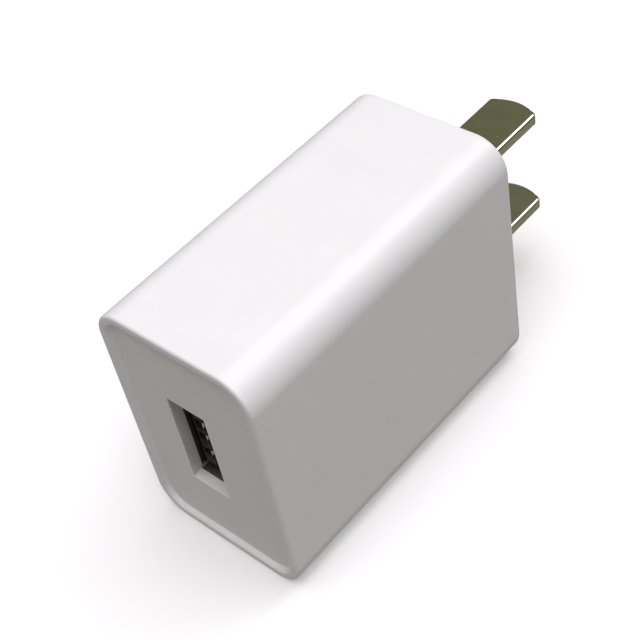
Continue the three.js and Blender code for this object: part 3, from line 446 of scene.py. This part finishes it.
def block(low: Point, high: Point) -> bpy.types.Object:
    """Return a cutting block between two corners."""
    mesh = bmesh.new()
    bmesh.ops.create_cube(mesh, size=1.0)
    low_v, high_v = Vector(low), Vector(high)
    size = high_v - low_v
    placed = Matrix.Translation((low_v + high_v) / 2) @ Matrix.Diagonal((*size, 1.0))
    bmesh.ops.transform(mesh, matrix=placed, verts=mesh.verts)
    data = bpy.data.meshes.new("cutter")
    mesh.to_mesh(data)
    mesh.free()
    return link("cutter", data)


def carve(piece: bpy.types.Object, cutters: Iterable[bpy.types.Object]) -> None:
    """Cut the cutters out of the piece and remove them."""
    for cutter in cutters:
        cut = piece.modifiers.new("cut", "BOOLEAN")
        cut.operation = "DIFFERENCE"
        cut.solver = "EXACT"
        cut.object = cutter
        settle(piece)
        old = cutter.data
        bpy.data.objects.remove(cutter)
        bpy.data.meshes.remove(old)


def settle(piece: bpy.types.Object) -> None:
    """Make the result of the piece's modifiers its own mesh."""
    graph = bpy.context.evaluated_depsgraph_get()
    data = bpy.data.meshes.new_from_object(piece.evaluated_get(graph))
    old = piece.data
    piece.modifiers.clear()
    piece.data = data
    bpy.data.meshes.remove(old)


def soften(
    piece: bpy.types.Object,
    width: float,
    segments: int = 3,
    where: Where | None = None,
    crease: float = SMOOTH_BELOW,
) -> None:
    """Round the piece's sharp edges and shade it evenly.

    Args:
        piece: The object to work on.
        width: Width of the rounding.
        segments: Faces across the rounding.
        where: True for the ends of the edges that are rounded; all of them if there is no test.
        crease: The angle from which an edge stays crisp.
    """
    if width > 0:
        mesh = bmesh.new()
        mesh.from_mesh(piece.data)
        sharp = [
            edge
            for edge in mesh.edges
            if edge.is_manifold
            and edge.calc_face_angle(0.0) > crease
            and (where is None or all(where(vert.co) for vert in edge.verts))
        ]
        bmesh.ops.bevel(
            mesh, geom=sharp, offset=width, segments=segments, profile=0.5, affect="EDGES", clamp_overlap=True
        )
        mesh.to_mesh(piece.data)
        mesh.free()
    for face in piece.data.polygons:
        face.use_smooth = True
    piece.data.set_sharp_from_angle(angle=crease)
    even = piece.modifiers.new("even_shading", "WEIGHTED_NORMAL")
    even.keep_sharp = True


def copy_of(name: str, node: str) -> bpy.types.Object:
    """Return a new piece with a CAD node's shape and its flat faces made whole."""
    mesh = bmesh.new()
    mesh.from_mesh(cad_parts[node].data)
    bmesh.ops.remove_doubles(mesh, verts=mesh.verts, dist=SAME_PLACE)
    bmesh.ops.dissolve_limit(mesh, angle_limit=FLAT_BELOW, verts=mesh.verts, edges=mesh.edges)
    data = bpy.data.meshes.new(name)
    mesh.to_mesh(data)
    mesh.free()
    return link(name, data)


def turned(
    name: str, profile: Sequence[tuple[float, float]], foot: Point, steps: int = 48
) -> bpy.types.Object:
    """Return a turned form that stands up from the board, along +X.

    Args:
        name: The object's name.
        profile: (radius, height) pairs; the first and last are on the axis.
        foot: Where height 0 of the axis is.
        steps: Segments round the axis.

    Returns:
        The new object.
    """
    mesh = bmesh.new()
    rows = []
    for radius, height in profile:
        ends = 1 if radius == 0 else steps
        row = []
        for i in range(ends):
            turn = 2 * math.pi * i / steps
            across = (foot[1] + radius * math.cos(turn), foot[2] + radius * math.sin(turn))
            row.append(mesh.verts.new((foot[0] + height, *across)))
        rows.append(row)
    for low, high in zip(rows, rows[1:]):
        for i in range(steps):
            j = (i + 1) % steps
            if len(low) == 1:
                mesh.faces.new((low[0], high[i], high[j]))
            elif len(high) == 1:
                mesh.faces.new((low[i], high[0], low[j]))
            else:
                mesh.faces.new((low[i], high[i], high[j], low[j]))
    bmesh.ops.recalc_face_normals(mesh, faces=mesh.faces)
    data = bpy.data.meshes.new(name)
    mesh.to_mesh(data)
    mesh.free()
    return link(name, data)


def absorb(piece: bpy.types.Object, others: Iterable[bpy.types.Object]) -> None:
    """Add the others' meshes, with their materials, to the piece and remove them."""
    whole = bmesh.new()
    whole.from_mesh(piece.data)
    for other in others:
        shift = len(piece.data.materials)
        before = len(whole.faces)
        whole.from_mesh(other.data)
        whole.faces.ensure_lookup_table()
        for face in whole.faces[before:]:
            face.material_index += shift
        for material in other.data.materials:
            piece.data.materials.append(material)
        old = other.data
        bpy.data.objects.remove(other)
        bpy.data.meshes.remove(old)
    whole.to_mesh(piece.data)
    whole.free()


def paint(
    piece: bpy.types.Object, finish: Finish, other: Finish | None = None, where: Where | None = None
) -> None:
    """Give the piece its finish, and a second one to the faces that a test picks.

    Args:
        piece: The object to paint.
        finish: Its main finish.
        other: The second finish.
        where: True for the middle of a face that takes the second finish.
    """
    piece.data.materials.clear()
    piece.data.materials.append(finish.material())
    for face in piece.data.polygons:
        face.material_index = 0
    if other and where:
        piece.data.materials.append(other.material())
        for face in piece.data.polygons:
            face.material_index = int(where(face.center))


def outside(axis: int, low: float, high: float = math.inf) -> Where:
    """Return a test that holds for a point outside two limits along an axis."""
    return lambda point: not low < point[axis] < high


def either(*tests: Where) -> Where:
    """Return a test that holds where any of the given tests does."""
    return lambda point: any(test(point) for test in tests)


def place(piece: bpy.types.Object, body: str, slot: Slot, *nodes: str) -> bpy.types.Object:
    """Let the piece ride on a body and stand for CAD nodes, which it hides.

    Args:
        piece: The finished object.
        body: The CAD body that carries it.
        slot: Its material slot; not used.
        nodes: The CAD nodes that it stands for.

    Returns:
        The same object.
    """
    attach(piece, body)
    if nodes:
        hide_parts(*nodes)
    LOG.info("%s: %d faces on %s", piece.name, len(piece.data.polygons), body)
    return piece


# ---- Case ----


@dataclass
class Case:
    """The sleeve with its closed rear wall, and the inset front panel."""

    corner: float = 3.8 * MM
    wall: float = 1.5 * MM
    rear_wall: float = 2.0 * MM
    outer_round: float = 0.35 * MM
    lip: float = 0.98 * MM
    lip_foot: float = 1.36 * MM
    lip_round: float = 0.25 * MM
    slot_gap: float = 0.05 * MM
    port_flare: float = 0.32 * MM
    throat: float = 1.3 * MM
    mouth_round: float = 0.1 * MM
    throat_corner: float = 0.15 * MM
    throat_steps: int = 4
    throat_beyond: float = 1.0 * MM
    panel_thickness: float = 1.6 * MM
    steps: int = 18
    round_steps: int = 6
    low: Vector = field(default_factory=lambda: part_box("housing")[0])
    high: Vector = field(default_factory=lambda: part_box("housing")[1])

    def _ring(self, inwards: float, y: float) -> list[Point]:
        """Return the case's outline at a place along Y, drawn inwards."""
        size = self.high - self.low
        middle = (self.low + self.high) / 2
        centre = (middle.x, y, middle.z)
        return ring(size.x - 2 * inwards, size.z - 2 * inwards, self.corner - inwards, centre, self.steps)

    def sleeve(self) -> bpy.types.Object:
        """Build the sleeve as one skin from the rear face round the lip to the inside.

        Returns:
            The dressed sleeve.
        """
        front, back = self.low.y, self.high.y
        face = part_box("front_panel")[0].y
        profile = bend(
            [
                (self.wall, back, 0.0),
                (0.0, back, self.outer_round),
                (0.0, front, self.outer_round),
                (self.lip, front, self.lip_round),
                (self.lip_foot, face, self.lip_round),
                (self.wall, face, 0.0),
                (self.wall, back - self.rear_wall, 0.0),
            ],
            self.round_steps,
        )
        sleeve = skin("case_sleeve", [self._ring(inwards, y) for inwards, y in profile])
        carve(sleeve, [self._blade_slot(node) for node in ("live_blade", "neutral_blade")])
        soften(sleeve, 0.0)
        paint(sleeve, WHITE_CASE)
        return place(sleeve, CHARGER, Slot.CASE, "housing")

    def _blade_slot(self, node: str) -> bpy.types.Object:
        """Return a cutter for the slot of one blade."""
        low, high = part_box(node)
        half = Blade.width / 2 + self.slot_gap
        bottom = (-half, -2 * self.rear_wall, low.z - self.slot_gap)
        return block(bottom, (half, self.rear_wall, high.z + self.slot_gap))

    def panel(self) -> bpy.types.Object:
        """Build the inset front panel with its flared port opening.

        Returns:
            The dressed panel.
        """
        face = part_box("front_panel")[0].y
        panel = skin("front_face", [self._ring(self.wall, y) for y in (face, face + self.panel_thickness)])
        x, z = PORT.middle()
        mouth = []
        for depth in (-self.throat_beyond, self.throat + self.throat_beyond):
            grow = 2 * self.port_flare * depth / self.throat
            wide, tall = PORT.mouth_width + grow, PORT.mouth_height + grow
            mouth.append(ring(wide, tall, self.throat_corner, (x, face + depth, z), self.throat_steps))
        carve(panel, [skin("mouth", mouth)])
        reach = Vector((PORT.mouth_width, 0.0, PORT.mouth_height)) / 2 + Vector((1, 1, 1)) * self.port_flare

        def within(point: Vector) -> bool:
            """Return whether a point is as near the middle as the mouth's walls."""
            return abs(point.x - x) < reach.x and abs(point.z - z) < reach.z

        def at_mouth(point: Vector) -> bool:
            """Return whether a point is on the mouth's outer edge."""
            return within(point) and point.y < face + SKIN_DEPTH

        def on_mouth_wall(point: Vector) -> bool:
            """Return whether a face's middle is on the mouth's walls."""
            return within(point) and point.y > face + self.mouth_round

        soften(panel, self.mouth_round, self.throat_steps, at_mouth)
        # The mouth's walls take the brighter copy of the white: painted light.
        paint(panel, WHITE_PANEL, PAINTED_LIGHT_MOUTH, on_mouth_wall)
        return place(panel, CHARGER, Slot.CASE, "front_panel")


# ---- Blades ----


@dataclass
class Blade:
    """One flat mains blade with a bowed tip and rounded edges."""

    node: str
    width: float = 6.3 * MM
    shoulder: float = 8.3 * MM
    shoulder_length: float = 1.15 * MM
    shoulder_at: float = -2.05 * MM
    tail: float = 5.0 * MM
    bow: float = 0.75 * MM
    bow_start: float = 1 / 3
    tip_round: float = 0.9 * MM
    coin_width: float = 0.26 * MM
    coin_depth: float = 0.105 * MM
    corner_width: float = 0.07 * MM
    corner_depth: float = 0.24 * MM
    edge_round: float = 0.1 * MM
    edge_steps: int = 4
    coined_part: float = 0.9
    crease: float = math.radians(12)
    arc_steps: int = 14

    def outline(self, low: Vector, high: Vector) -> list[tuple[float, float]]:
        """Return the blade's outline in X and Y.

        Args:
            low: The CAD blade's lowest corner.
            high: Its highest corner.

        Returns:
            Points from the tail's left corner, anticlockwise.
        """
        half, corner = self.width / 2, high.y - self.bow
        start = corner + self.bow * self.bow_start
        crown = 2 * high.y - start
        neck = self.shoulder_at - self.shoulder_length
        right = [
            (self.tail / 2, low.y),
            (self.tail / 2, neck),
            (self.shoulder / 2, neck),
            (self.shoulder / 2, self.shoulder_at),
            (half, self.shoulder_at),
        ]
        side, shoulder = (half, corner - self.tip_round / 2), (half - self.tip_round, start)
        round_in = self._arc(side, (half, corner), shoulder)
        tip = self._arc(shoulder, (0.0, crown), (-half + self.tip_round, start))
        left = [(-x, y) for x, y in (right + round_in)[::-1]]
        return right + round_in + tip[1:-1] + left

    def _arc(self, a: tuple, b: tuple, c: tuple) -> list[tuple[float, float]]:
        """Return points on a curve from a to c that b draws out."""
        points = []
        for i in range(self.arc_steps + 1):
            t = i / self.arc_steps
            weights = ((1 - t) ** 2, 2 * t * (1 - t), t * t)
            points.append(tuple(sum(w * p[k] for w, p in zip(weights, (a, b, c))) for k in (0, 1)))
        return points

    def build(self) -> bpy.types.Object:
        """Build and dress the blade.

        Returns:
            The finished blade.
        """
        low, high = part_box(self.node)
        outline = self.outline(low, high)
        middle = (low.z + high.z) / 2
        rows = bend(
            [
                (self.coin_width, low.z, 0.0),
                (self.corner_width, low.z + self.coin_depth, self.edge_round),
                (0.0, low.z + self.corner_depth, self.edge_round),
                (0.0, middle, 0.0),
            ],
            self.edge_steps,
        )
        rows += [(inwards, low.z + high.z - z) for inwards, z in reversed(rows[:-1])]
        rings = [[(x, y, z) for x, y in inset(outline, inwards)] for inwards, z in rows]
        blade = skin(self.node + "_plate", rings)
        soften(blade, 0.0, crease=self.crease)
        face = high.z - middle - SKIN_DEPTH
        coined = face - self.coin_depth * self.coined_part

        def on_coined_edge(point: Vector) -> bool:
            """Return whether a face's middle is on the coined band round either flat."""
            return coined < abs(point.z - middle) < face

        # The band round each flat takes the pale copy of the nickel: a painted highlight.
        paint(blade, NICKEL, PAINTED_HIGHLIGHT_EDGE, on_coined_edge)
        return place(blade, CHARGER, Slot.BLADE, self.node)


# ---- USB port ----


@dataclass
class Port:
    """The USB-A receptacle: shell, sprung fingers, moulded tongue and four contacts."""

    mouth_width: float = 5.13 * MM
    mouth_height: float = 12.55 * MM
    sheet: float = 0.3 * MM
    shell_edge: float = 0.04 * MM
    tongue_edge: float = 0.06 * MM
    tongue_steps: int = 3
    strip_edge: float = 0.03 * MM
    contacts: tuple[str, ...] = ("ground", "data_plus", "data_minus", "vbus")
    fingers: tuple[str, ...] = ("upper", "lower")

    def middle(self) -> tuple[float, float]:
        """Return the middle of the mouth, as X and Z: its right side is flush with the shell's inside."""
        low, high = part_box("usb_shell")
        return high.x - self.sheet - self.mouth_width / 2, (low.z + high.z) / 2

    def build(self) -> None:
        """Build and dress every piece of the receptacle."""
        shell = copy_of("port_shell", "usb_shell")
        soften(shell, self.shell_edge, EDGE_STEPS)
        self._plate(shell)
        place(shell, CHARGER, Slot.TIN, "usb_shell")
        tongue = copy_of("port_tongue", "usb_insulator")
        soften(tongue, self.tongue_edge, self.tongue_steps)
        paint(tongue, BLACK_MOULDING)
        place(tongue, CHARGER, Slot.PORT, "usb_insulator")
        for label in self.fingers:
            finger = self._strip(f"usb_shell_finger_{label}", f"{label}_finger", TIN, Slot.TIN)
            self._plate(finger)
        for label in self.contacts:
            self._strip(f"usb_contact_{label}", f"{label}_contact", PALE_BRONZE, Slot.BRONZE)
            self._strip(f"usb_tail_{label}", CHARGER, PALE_BRONZE, Slot.BRONZE)

    def _plate(self, sheet: bpy.types.Object) -> None:
        """Plate a sheet of the shell with tin, bright outside, with painted shade on the faces towards the
        port's axis.
        """
        x, z = self.middle()
        paint(sheet, TIN)
        # Faces that look towards the port's axis take the dark copy of the tin: painted shade.
        sheet.data.materials.append(TIN_PAINTED_SHADE.material())
        for face in sheet.data.polygons:
            inwards = Vector((x - face.center.x, 0.0, z - face.center.z))
            face.material_index = int(face.normal.dot(inwards) > 0)

    def _strip(self, node: str, body: str, finish: Finish, slot: Slot) -> bpy.types.Object:
        """Build one bent strip with softened edges."""
        strip = copy_of(node + "_strip", node)
        soften(strip, self.strip_edge, EDGE_STEPS)
        paint(strip, finish)
        return place(strip, body, slot, node)


PORT = Port()


# ---- Board and parts ----


@dataclass
class Part:
    """A part inside the case that takes its form from the frame, with softened edges."""

    node: str
    finish: Finish
    slot: Slot
    edge: float = 0.08 * MM
    metal: Where | None = None

    def build(self) -> bpy.types.Object:
        """Build and dress the part.

        Returns:
            The finished part.
        """
        made = copy_of(self.node + "_body", self.node)
        soften(made, self.edge, EDGE_STEPS)
        paint(made, self.finish, TIN if self.metal else None, self.metal)
        return place(made, CHARGER, self.slot, self.node)


@dataclass
class Capacitor:
    """An upright electrolytic capacitor: sleeved can, crimped neck, scored vent and two legs."""

    node: str
    body: Finish
    slot: Slot
    pitch: float
    stand_off: float = 0.3 * MM
    foot_round: float = 0.2 * MM
    neck_height: float = 1.45 * MM
    neck_dip: float = 0.28 * MM
    neck_reach: float = 0.35 * MM
    neck_margin: float = 0.05 * MM
    crown_round: float = 0.35 * MM
    lip: float = 0.55 * MM
    well_depth: float = 0.1 * MM
    vent_width: float = 0.22 * MM
    vent_depth: float = 0.12 * MM
    vent_reach: float = 0.75
    leg: float = 0.3 * MM
    leg_steps: int = 20
    root: float = 0.1 * MM
    steps: int = 8

    def _profile(self, radius: float, height: float, rim: float) -> list[tuple[float, float]]:
        """Return the can's outline from the middle of its foot to the middle of its top.

        Args:
            radius: The can's radius.
            height: Its top above the board.
            rim: Radius of the bare well in the top.

        Returns:
            (radius, height) pairs.
        """
        base, neck = self.stand_off, self.stand_off + self.neck_height
        margin = self.neck_reach + self.neck_margin
        points = [(0.0, base), (radius - self.foot_round, base), (radius, base + self.foot_round)]
        points.append((radius, neck - margin))
        for i in range(self.steps + 1):
            along = 2 * i / self.steps - 1
            dip = self.neck_dip * math.cos(along * math.pi / 2)
            points.append((radius - dip, neck + along * self.neck_reach))
        points += [(radius, neck + margin), (radius, height - self.crown_round)]
        crown = fillet(self.crown_round, self.steps)[1:]
        points += [(radius - drawn, height - depth) for drawn, depth in crown]
        well = height - self.well_depth
        return points + [(rim, height), (rim - self.well_depth / 2, well), (0.0, well)]

    def build(self, board_face: float) -> bpy.types.Object:
        """Build and dress the capacitor.

        Args:
            board_face: The board's upper face along X.

        Returns:
            The finished capacitor.
        """
        low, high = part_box(self.node)
        centre = (low + high) / 2
        radius, height = (high.y - low.y) / 2, high.x - board_face
        rim = radius - self.crown_round - self.lip
        foot = (board_face, centre.y, centre.z)
        can = turned(self.node + "_can", self._profile(radius, height, rim), foot)
        top = high.x - self.well_depth
        cut = top - self.vent_depth
        half, reach = self.vent_width / 2, rim * self.vent_reach
        bars = [
            block((cut, centre.y - dy, centre.z - dz), (top + MM, centre.y + dy, centre.z + dz))
            for dy, dz in ((reach, half), (half, reach))
        ]
        carve(can, bars)
        bare = top - self.well_depth - self.vent_depth
        paint(can, self.body, CAN, lambda point: point.x > bare and (point.yz - centre.yz).length < rim)
        legs = []
        for side in (-1, 1):
            at = (low.x, centre.y + side * self.pitch / 2, centre.z)
            reach_up = board_face + self.stand_off + self.root - low.x
            rod = [(0.0, 0.0), (self.leg, 0.0), (self.leg, reach_up), (0.0, reach_up)]
            wire = turned("leg", rod, at, self.leg_steps)
            paint(wire, TIN)
            legs.append(wire)
        absorb(can, legs)
        soften(can, 0.0)
        return place(can, CHARGER, self.slot, self.node)


@dataclass
class Board:
    """The circuit board with its solder joints and everything that stands on it."""

    joint_radius: float = 0.85 * MM
    joint_height: float = 0.55 * MM
    joint_neck: float = 0.32 * MM
    joint_gap: float = 0.02 * MM
    joint_steps: int = 8
    joint_sides: int = 24
    joint_hollow: float = 1.6
    board_edge: float = 0.05 * MM
    sheet_edge: float = 0.03 * MM
    core_edge: float = 0.15 * MM
    pin_edge: float = 0.05 * MM
    bobbin_edge: float = 0.08 * MM
    winding_edge: float = 0.5 * MM
    tape_edge: float = 0.04 * MM
    leaded_edge: float = 0.06 * MM
    pins_a_side: int = 4
    capacitor_pitch: tuple[tuple[str, float], ...] = (
        ("input_capacitor_rear", 3.5 * MM),
        ("input_capacitor_front", 3.5 * MM),
        ("output_capacitor", 2.5 * MM),
        ("output_polymer_capacitor", 2.5 * MM),
    )
    stand_off: float = 0.3 * MM
    choke_length: float = 6.4 * MM
    choke_margin: float = 0.05 * MM
    fuse_wire: float = 0.95 * MM
    fuse_fold: float = 0.7 * MM
    disc_dip: float = 0.6 * MM
    lead_run: float = 0.99 * MM
    chip_end: float = 0.36 * MM
    chip_edge: float = 0.03 * MM

    def build(self) -> None:
        """Build the board and each part in turn."""
        low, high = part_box("circuit_board")
        Part("circuit_board", MASK, Slot.BOARD, self.board_edge).build()
        Part("insulation_sheet", FILM, Slot.FILM, self.sheet_edge).build()
        self._capacitors(high.x)
        self._transformer()
        self._leaded(high.x)
        self._chips()
        self._joints(low.x)

    def _capacitors(self, face: float) -> None:
        """Build the four capacitors that stand on the board."""
        dress = {
            "input_capacitor_rear": (BLUE_SLEEVE, Slot.SLEEVE_BLUE),
            "input_capacitor_front": (BLUE_SLEEVE, Slot.SLEEVE_BLUE),
            "output_capacitor": (GREEN_SLEEVE, Slot.SLEEVE_GREEN),
            "output_polymer_capacitor": (CAN, Slot.CAN),
        }
        for node, pitch in self.capacitor_pitch:
            Capacitor(node, *dress[node], pitch).build(face)

    def _transformer(self) -> None:
        """Build the transformer's core, bobbin, winding, tape and pins."""
        for which in ("rear", "front"):
            Part(f"transformer_core_{which}", FERRITE, Slot.FERRITE, self.core_edge).build()
            for i in range(self.pins_a_side):
                Part(f"transformer_pin_{which}_{i + 1}", TIN, Slot.TIN, self.pin_edge).build()
        Part("transformer_bobbin", PHENOLIC, Slot.BOBBIN, self.bobbin_edge).build()
        Part("transformer_winding", TAPE, Slot.TAPE, self.winding_edge).build()
        Part("transformer_core_tape", TAPE, Slot.TAPE, self.tape_edge).build()

    def _leaded(self, face: float) -> None:
        """Build the choke, resistor and disc capacitor, with bare wire beyond their bodies."""
        below = outside(0, face + self.stand_off)
        low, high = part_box("filter_inductor")
        middle, half = (low.y + high.y) / 2, self.choke_length / 2 + self.choke_margin
        wire = either(below, outside(1, middle - half, middle + half))
        Part("filter_inductor", GREEN_SLEEVE, Slot.SLEEVE_GREEN, self.leaded_edge, wire).build()
        low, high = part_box("fusible_resistor")
        wire = either(below, outside(0, face, high.x - self.fuse_wire), outside(1, low.y + self.fuse_fold))
        Part("fusible_resistor", LACQUER, Slot.RESISTOR, self.leaded_edge, wire).build()
        wire = outside(0, face + self.disc_dip)
        Part("y_capacitor", DIPPED, Slot.DISC, self.leaded_edge, wire).build()

    def _chips(self) -> None:
        """Build the chips on the soldered side, with bare leads and end caps."""
        for node in ("bridge_rectifier", "controller_chip", "snubber_diode", "output_diode"):
            low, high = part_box(node)
            leads = outside(2, low.z + self.lead_run, high.z - self.lead_run)
            Part(node, EPOXY, Slot.CHIP, self.chip_edge, leads).build()
        for node, finish, slot in (
            ("snubber_resistor", EPOXY, Slot.CHIP),
            ("start_resistor", EPOXY, Slot.CHIP),
            ("feedback_resistor", EPOXY, Slot.CHIP),
            ("data_resistor", EPOXY, Slot.CHIP),
            ("output_resistor", EPOXY, Slot.CHIP),
            ("snubber_capacitor", FIRED, Slot.CERAMIC),
            ("bias_capacitor", FIRED, Slot.CERAMIC),
        ):
            low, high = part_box(node)
            ends = outside(1, low.y + self.chip_end, high.y - self.chip_end)
            Part(node, finish, slot, self.chip_edge, ends).build()

    def _joints(self, back: float) -> None:
        """Build the cones of solder round every leg on the board's far side."""
        spots = []
        for which in ("rear", "front"):
            for i in range(self.pins_a_side):
                low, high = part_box(f"transformer_pin_{which}_{i + 1}")
                spots.append(((low.y + high.y) / 2, (low.z + high.z) / 2))
        for node, pitch in self.capacitor_pitch:
            low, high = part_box(node)
            centre = (low + high) / 2
            spots += [(centre.y + side * pitch / 2, centre.z) for side in (-1, 1)]
        profile = [(0.0, 0.0), (self.joint_radius, 0.0)]
        for i in range(1, self.joint_steps + 1):
            t = i / self.joint_steps
            narrow = self.joint_radius * (1 - t) ** self.joint_hollow + self.joint_neck * t
            profile.append((narrow, -self.joint_height * t))
        profile.append((0.0, -self.joint_height))
        top = back - self.joint_gap
        cones = [turned("solder", profile, (top, y, z), self.joint_sides) for y, z in spots]
        for cone in cones:
            paint(cone, SOLDER)
        joints = cones[0]
        joints.name = "solder_joints"
        absorb(joints, cones[1:])
        paint(joints, SOLDER)
        soften(joints, 0.0)
        place(joints, CHARGER, Slot.TIN)


@dataclass
class Fittings:
    """What holds the blades and carries the mains to the board."""

    retainer_edge: float = 0.15 * MM
    spring_edge: float = 0.04 * MM

    def build(self) -> None:
        """Build the retainer and the two contact springs."""
        Part("blade_retainer", PALE_MOULDING, Slot.RETAINER, self.retainer_edge).build()
        for which in ("live", "neutral"):
            Part(f"{which}_contact_spring", BRONZE, Slot.BRONZE, self.spring_edge).build()


# ---- Studio ----


@dataclass
class Studio:
    """A pale floor and wall, a soft overhead light, a small one behind and the camera."""

    azimuth: float = 49.68
    elevation: float = 45.02
    roll: float = -12.64
    distance: float = 146.86 * MM
    lens: float = 75.67
    sensor: float = 36.0
    clip: tuple[float, float] = (0.01, 20.0)
    aim: Point = (-3.03 * MM, -6.01 * MM, -1.58 * MM)
    floor_radius: float = 0.9
    floor_steps: int = 96
    floor_gap: float = 0.02 * MM
    wall_glow: float = 0.9
    wall_height: float = 2.6
    soft_size: float = 3.36
    soft_at: Point = (0.32, -0.08, 2.0)
    soft_power: float = 61.0
    soft_colour: Colour = (1.0, 0.975, 1.01)
    kick_size: float = 1.0
    kick_at: Point = (0.50, 1.34, 1.68)
    kick_power: float = 5.5
    room: Colour = (0.26, 0.262, 0.245)
    falloff: tuple[tuple[float, float], ...] = (
        (0.0, 1.5),
        (1.0, 1.0),
        (0.3, 1.45),
        (0.47, 0.35),
        (0.6, 0.25),
        (0.8, 1.0),
    )

    def build(self, low: Vector, high: Vector) -> None:
        """Set the floor, lights, sky and camera round the object.

        Args:
            low: The object's lowest corner.
            high: Its highest corner.
        """
        bpy.context.scene.view_settings.view_transform = "Standard"
        centre = (low + high) / 2
        self._floor(low.z)
        self._light("overhead", centre + Vector(self.soft_at), self.soft_size, self.soft_power, centre)
        self._light("kicker", centre + Vector(self.kick_at), self.kick_size, self.kick_power, centre)
        self._room_light()
        self._camera(centre + Vector(self.aim))

    def _floor(self, level: float) -> None:
        """Lay a round pale floor under the object and stand a pale wall round it."""
        mesh = bmesh.new()
        steps, radius = self.floor_steps, self.floor_radius
        bmesh.ops.create_circle(mesh, cap_ends=True, segments=steps, radius=radius)
        bmesh.ops.translate(mesh, vec=(0, 0, level - self.floor_gap), verts=mesh.verts)
        floor = self._staged("floor", mesh, FLOOR_PAPER)
        floor.visible_diffuse = False
        floor.visible_glossy = False
        mesh = bmesh.new()
        rim = bmesh.ops.create_circle(mesh, segments=steps, radius=radius)["verts"]
        bmesh.ops.translate(mesh, vec=(0, 0, level), verts=rim)
        grown = bmesh.ops.extrude_edge_only(mesh, edges=mesh.edges[:])["geom"]
        top = [part for part in grown if isinstance(part, bmesh.types.BMVert)]
        bmesh.ops.translate(mesh, vec=(0, 0, self.wall_height), verts=top)
        wall = self._staged("wall", mesh, WALL_PAPER)
        shader = wall.active_material.node_tree.nodes["Principled BSDF"]
        shader.inputs["Emission Color"].default_value = (1.0, 1.0, 1.0, 1.0)
        shader.inputs["Emission Strength"].default_value = self.wall_glow
        wall.visible_diffuse = False
        wall.visible_glossy = False
        wall.visible_shadow = False

    def _staged(self, name: str, mesh: bmesh.types.BMesh, finish: Finish) -> bpy.types.Object:
        """Return a piece of the studio that isn't part of the object."""
        data = bpy.data.meshes.new(name)
        mesh.to_mesh(data)
        mesh.free()
        made = link(name, data)
        paint(made, finish)
        return made

    def _light(self, name: str, at: Vector, size: float, power: float, target: Vector) -> None:
        """Hang one soft round light that faces a target."""
        data = bpy.data.lights.new(name, "AREA")
        data.shape = "DISK"
        data.size = size
        data.energy = power
        data.color = self.soft_colour
        light = bpy.data.objects.new(name, data)
        light.location = at
        light.rotation_euler = (target - at).to_track_quat("-Z", "Y").to_euler()
        bpy.context.scene.collection.objects.link(light)

    def _room_light(self) -> None:
        """Fill the room with a dim light that falls off towards the horizon."""
        world = bpy.data.worlds.new("room")
        bpy.context.scene.world = world
        world.use_nodes = True
        tree = world.node_tree
        where = tree.nodes.new("ShaderNodeTexCoord")
        height = tree.nodes.new("ShaderNodeSeparateXYZ")
        level = tree.nodes.new("ShaderNodeMapRange")
        level.inputs["From Min"].default_value = -1.0
        ramp = tree.nodes.new("ShaderNodeValToRGB")
        for i, (at, part) in enumerate(self.falloff):
            stop = ramp.color_ramp.elements[i] if i < 2 else ramp.color_ramp.elements.new(at)
            stop.position = at
            stop.color = (*(part * tone for tone in self.room), 1.0)
        tree.links.new(where.outputs["Generated"], height.inputs["Vector"])
        tree.links.new(height.outputs["Z"], level.inputs["Value"])
        tree.links.new(level.outputs["Result"], ramp.inputs["Fac"])
        tree.links.new(ramp.outputs["Color"], tree.nodes["Background"].inputs["Color"])

    def _camera(self, aim: Vector) -> None:
        """Stand the camera at its angle, looking at a point."""
        a, e = math.radians(self.azimuth), math.radians(self.elevation)
        back = Vector((math.sin(a) * math.cos(e), -math.cos(a) * math.cos(e), math.sin(e)))
        data = bpy.data.cameras.new("camera")
        data.lens = self.lens
        data.sensor_width = self.sensor
        data.clip_start, data.clip_end = self.clip
        camera = bpy.data.objects.new("camera", data)
        level = (-back).to_track_quat("-Z", "Y").to_matrix().to_4x4()
        tilt = Matrix.Rotation(math.radians(self.roll), 4, "Z")
        camera.matrix_world = Matrix.Translation(aim + back * self.distance) @ level @ tilt
        bpy.context.scene.collection.objects.link(camera)
        bpy.context.scene.camera = camera


def main() -> None:
    """Build the studio round the loaded frame, then every sub-assembly in order."""
    logging.basicConfig(level=logging.INFO, format="%(name)s: %(message)s")
    Studio().build(*cad_box)
    case = Case()
    case.sleeve()
    case.panel()
    for which in ("live", "neutral"):
        Blade(f"{which}_blade").build()
    PORT.build()
    Fittings().build()
    Board().build()


if __name__ == "__main__":
    main()
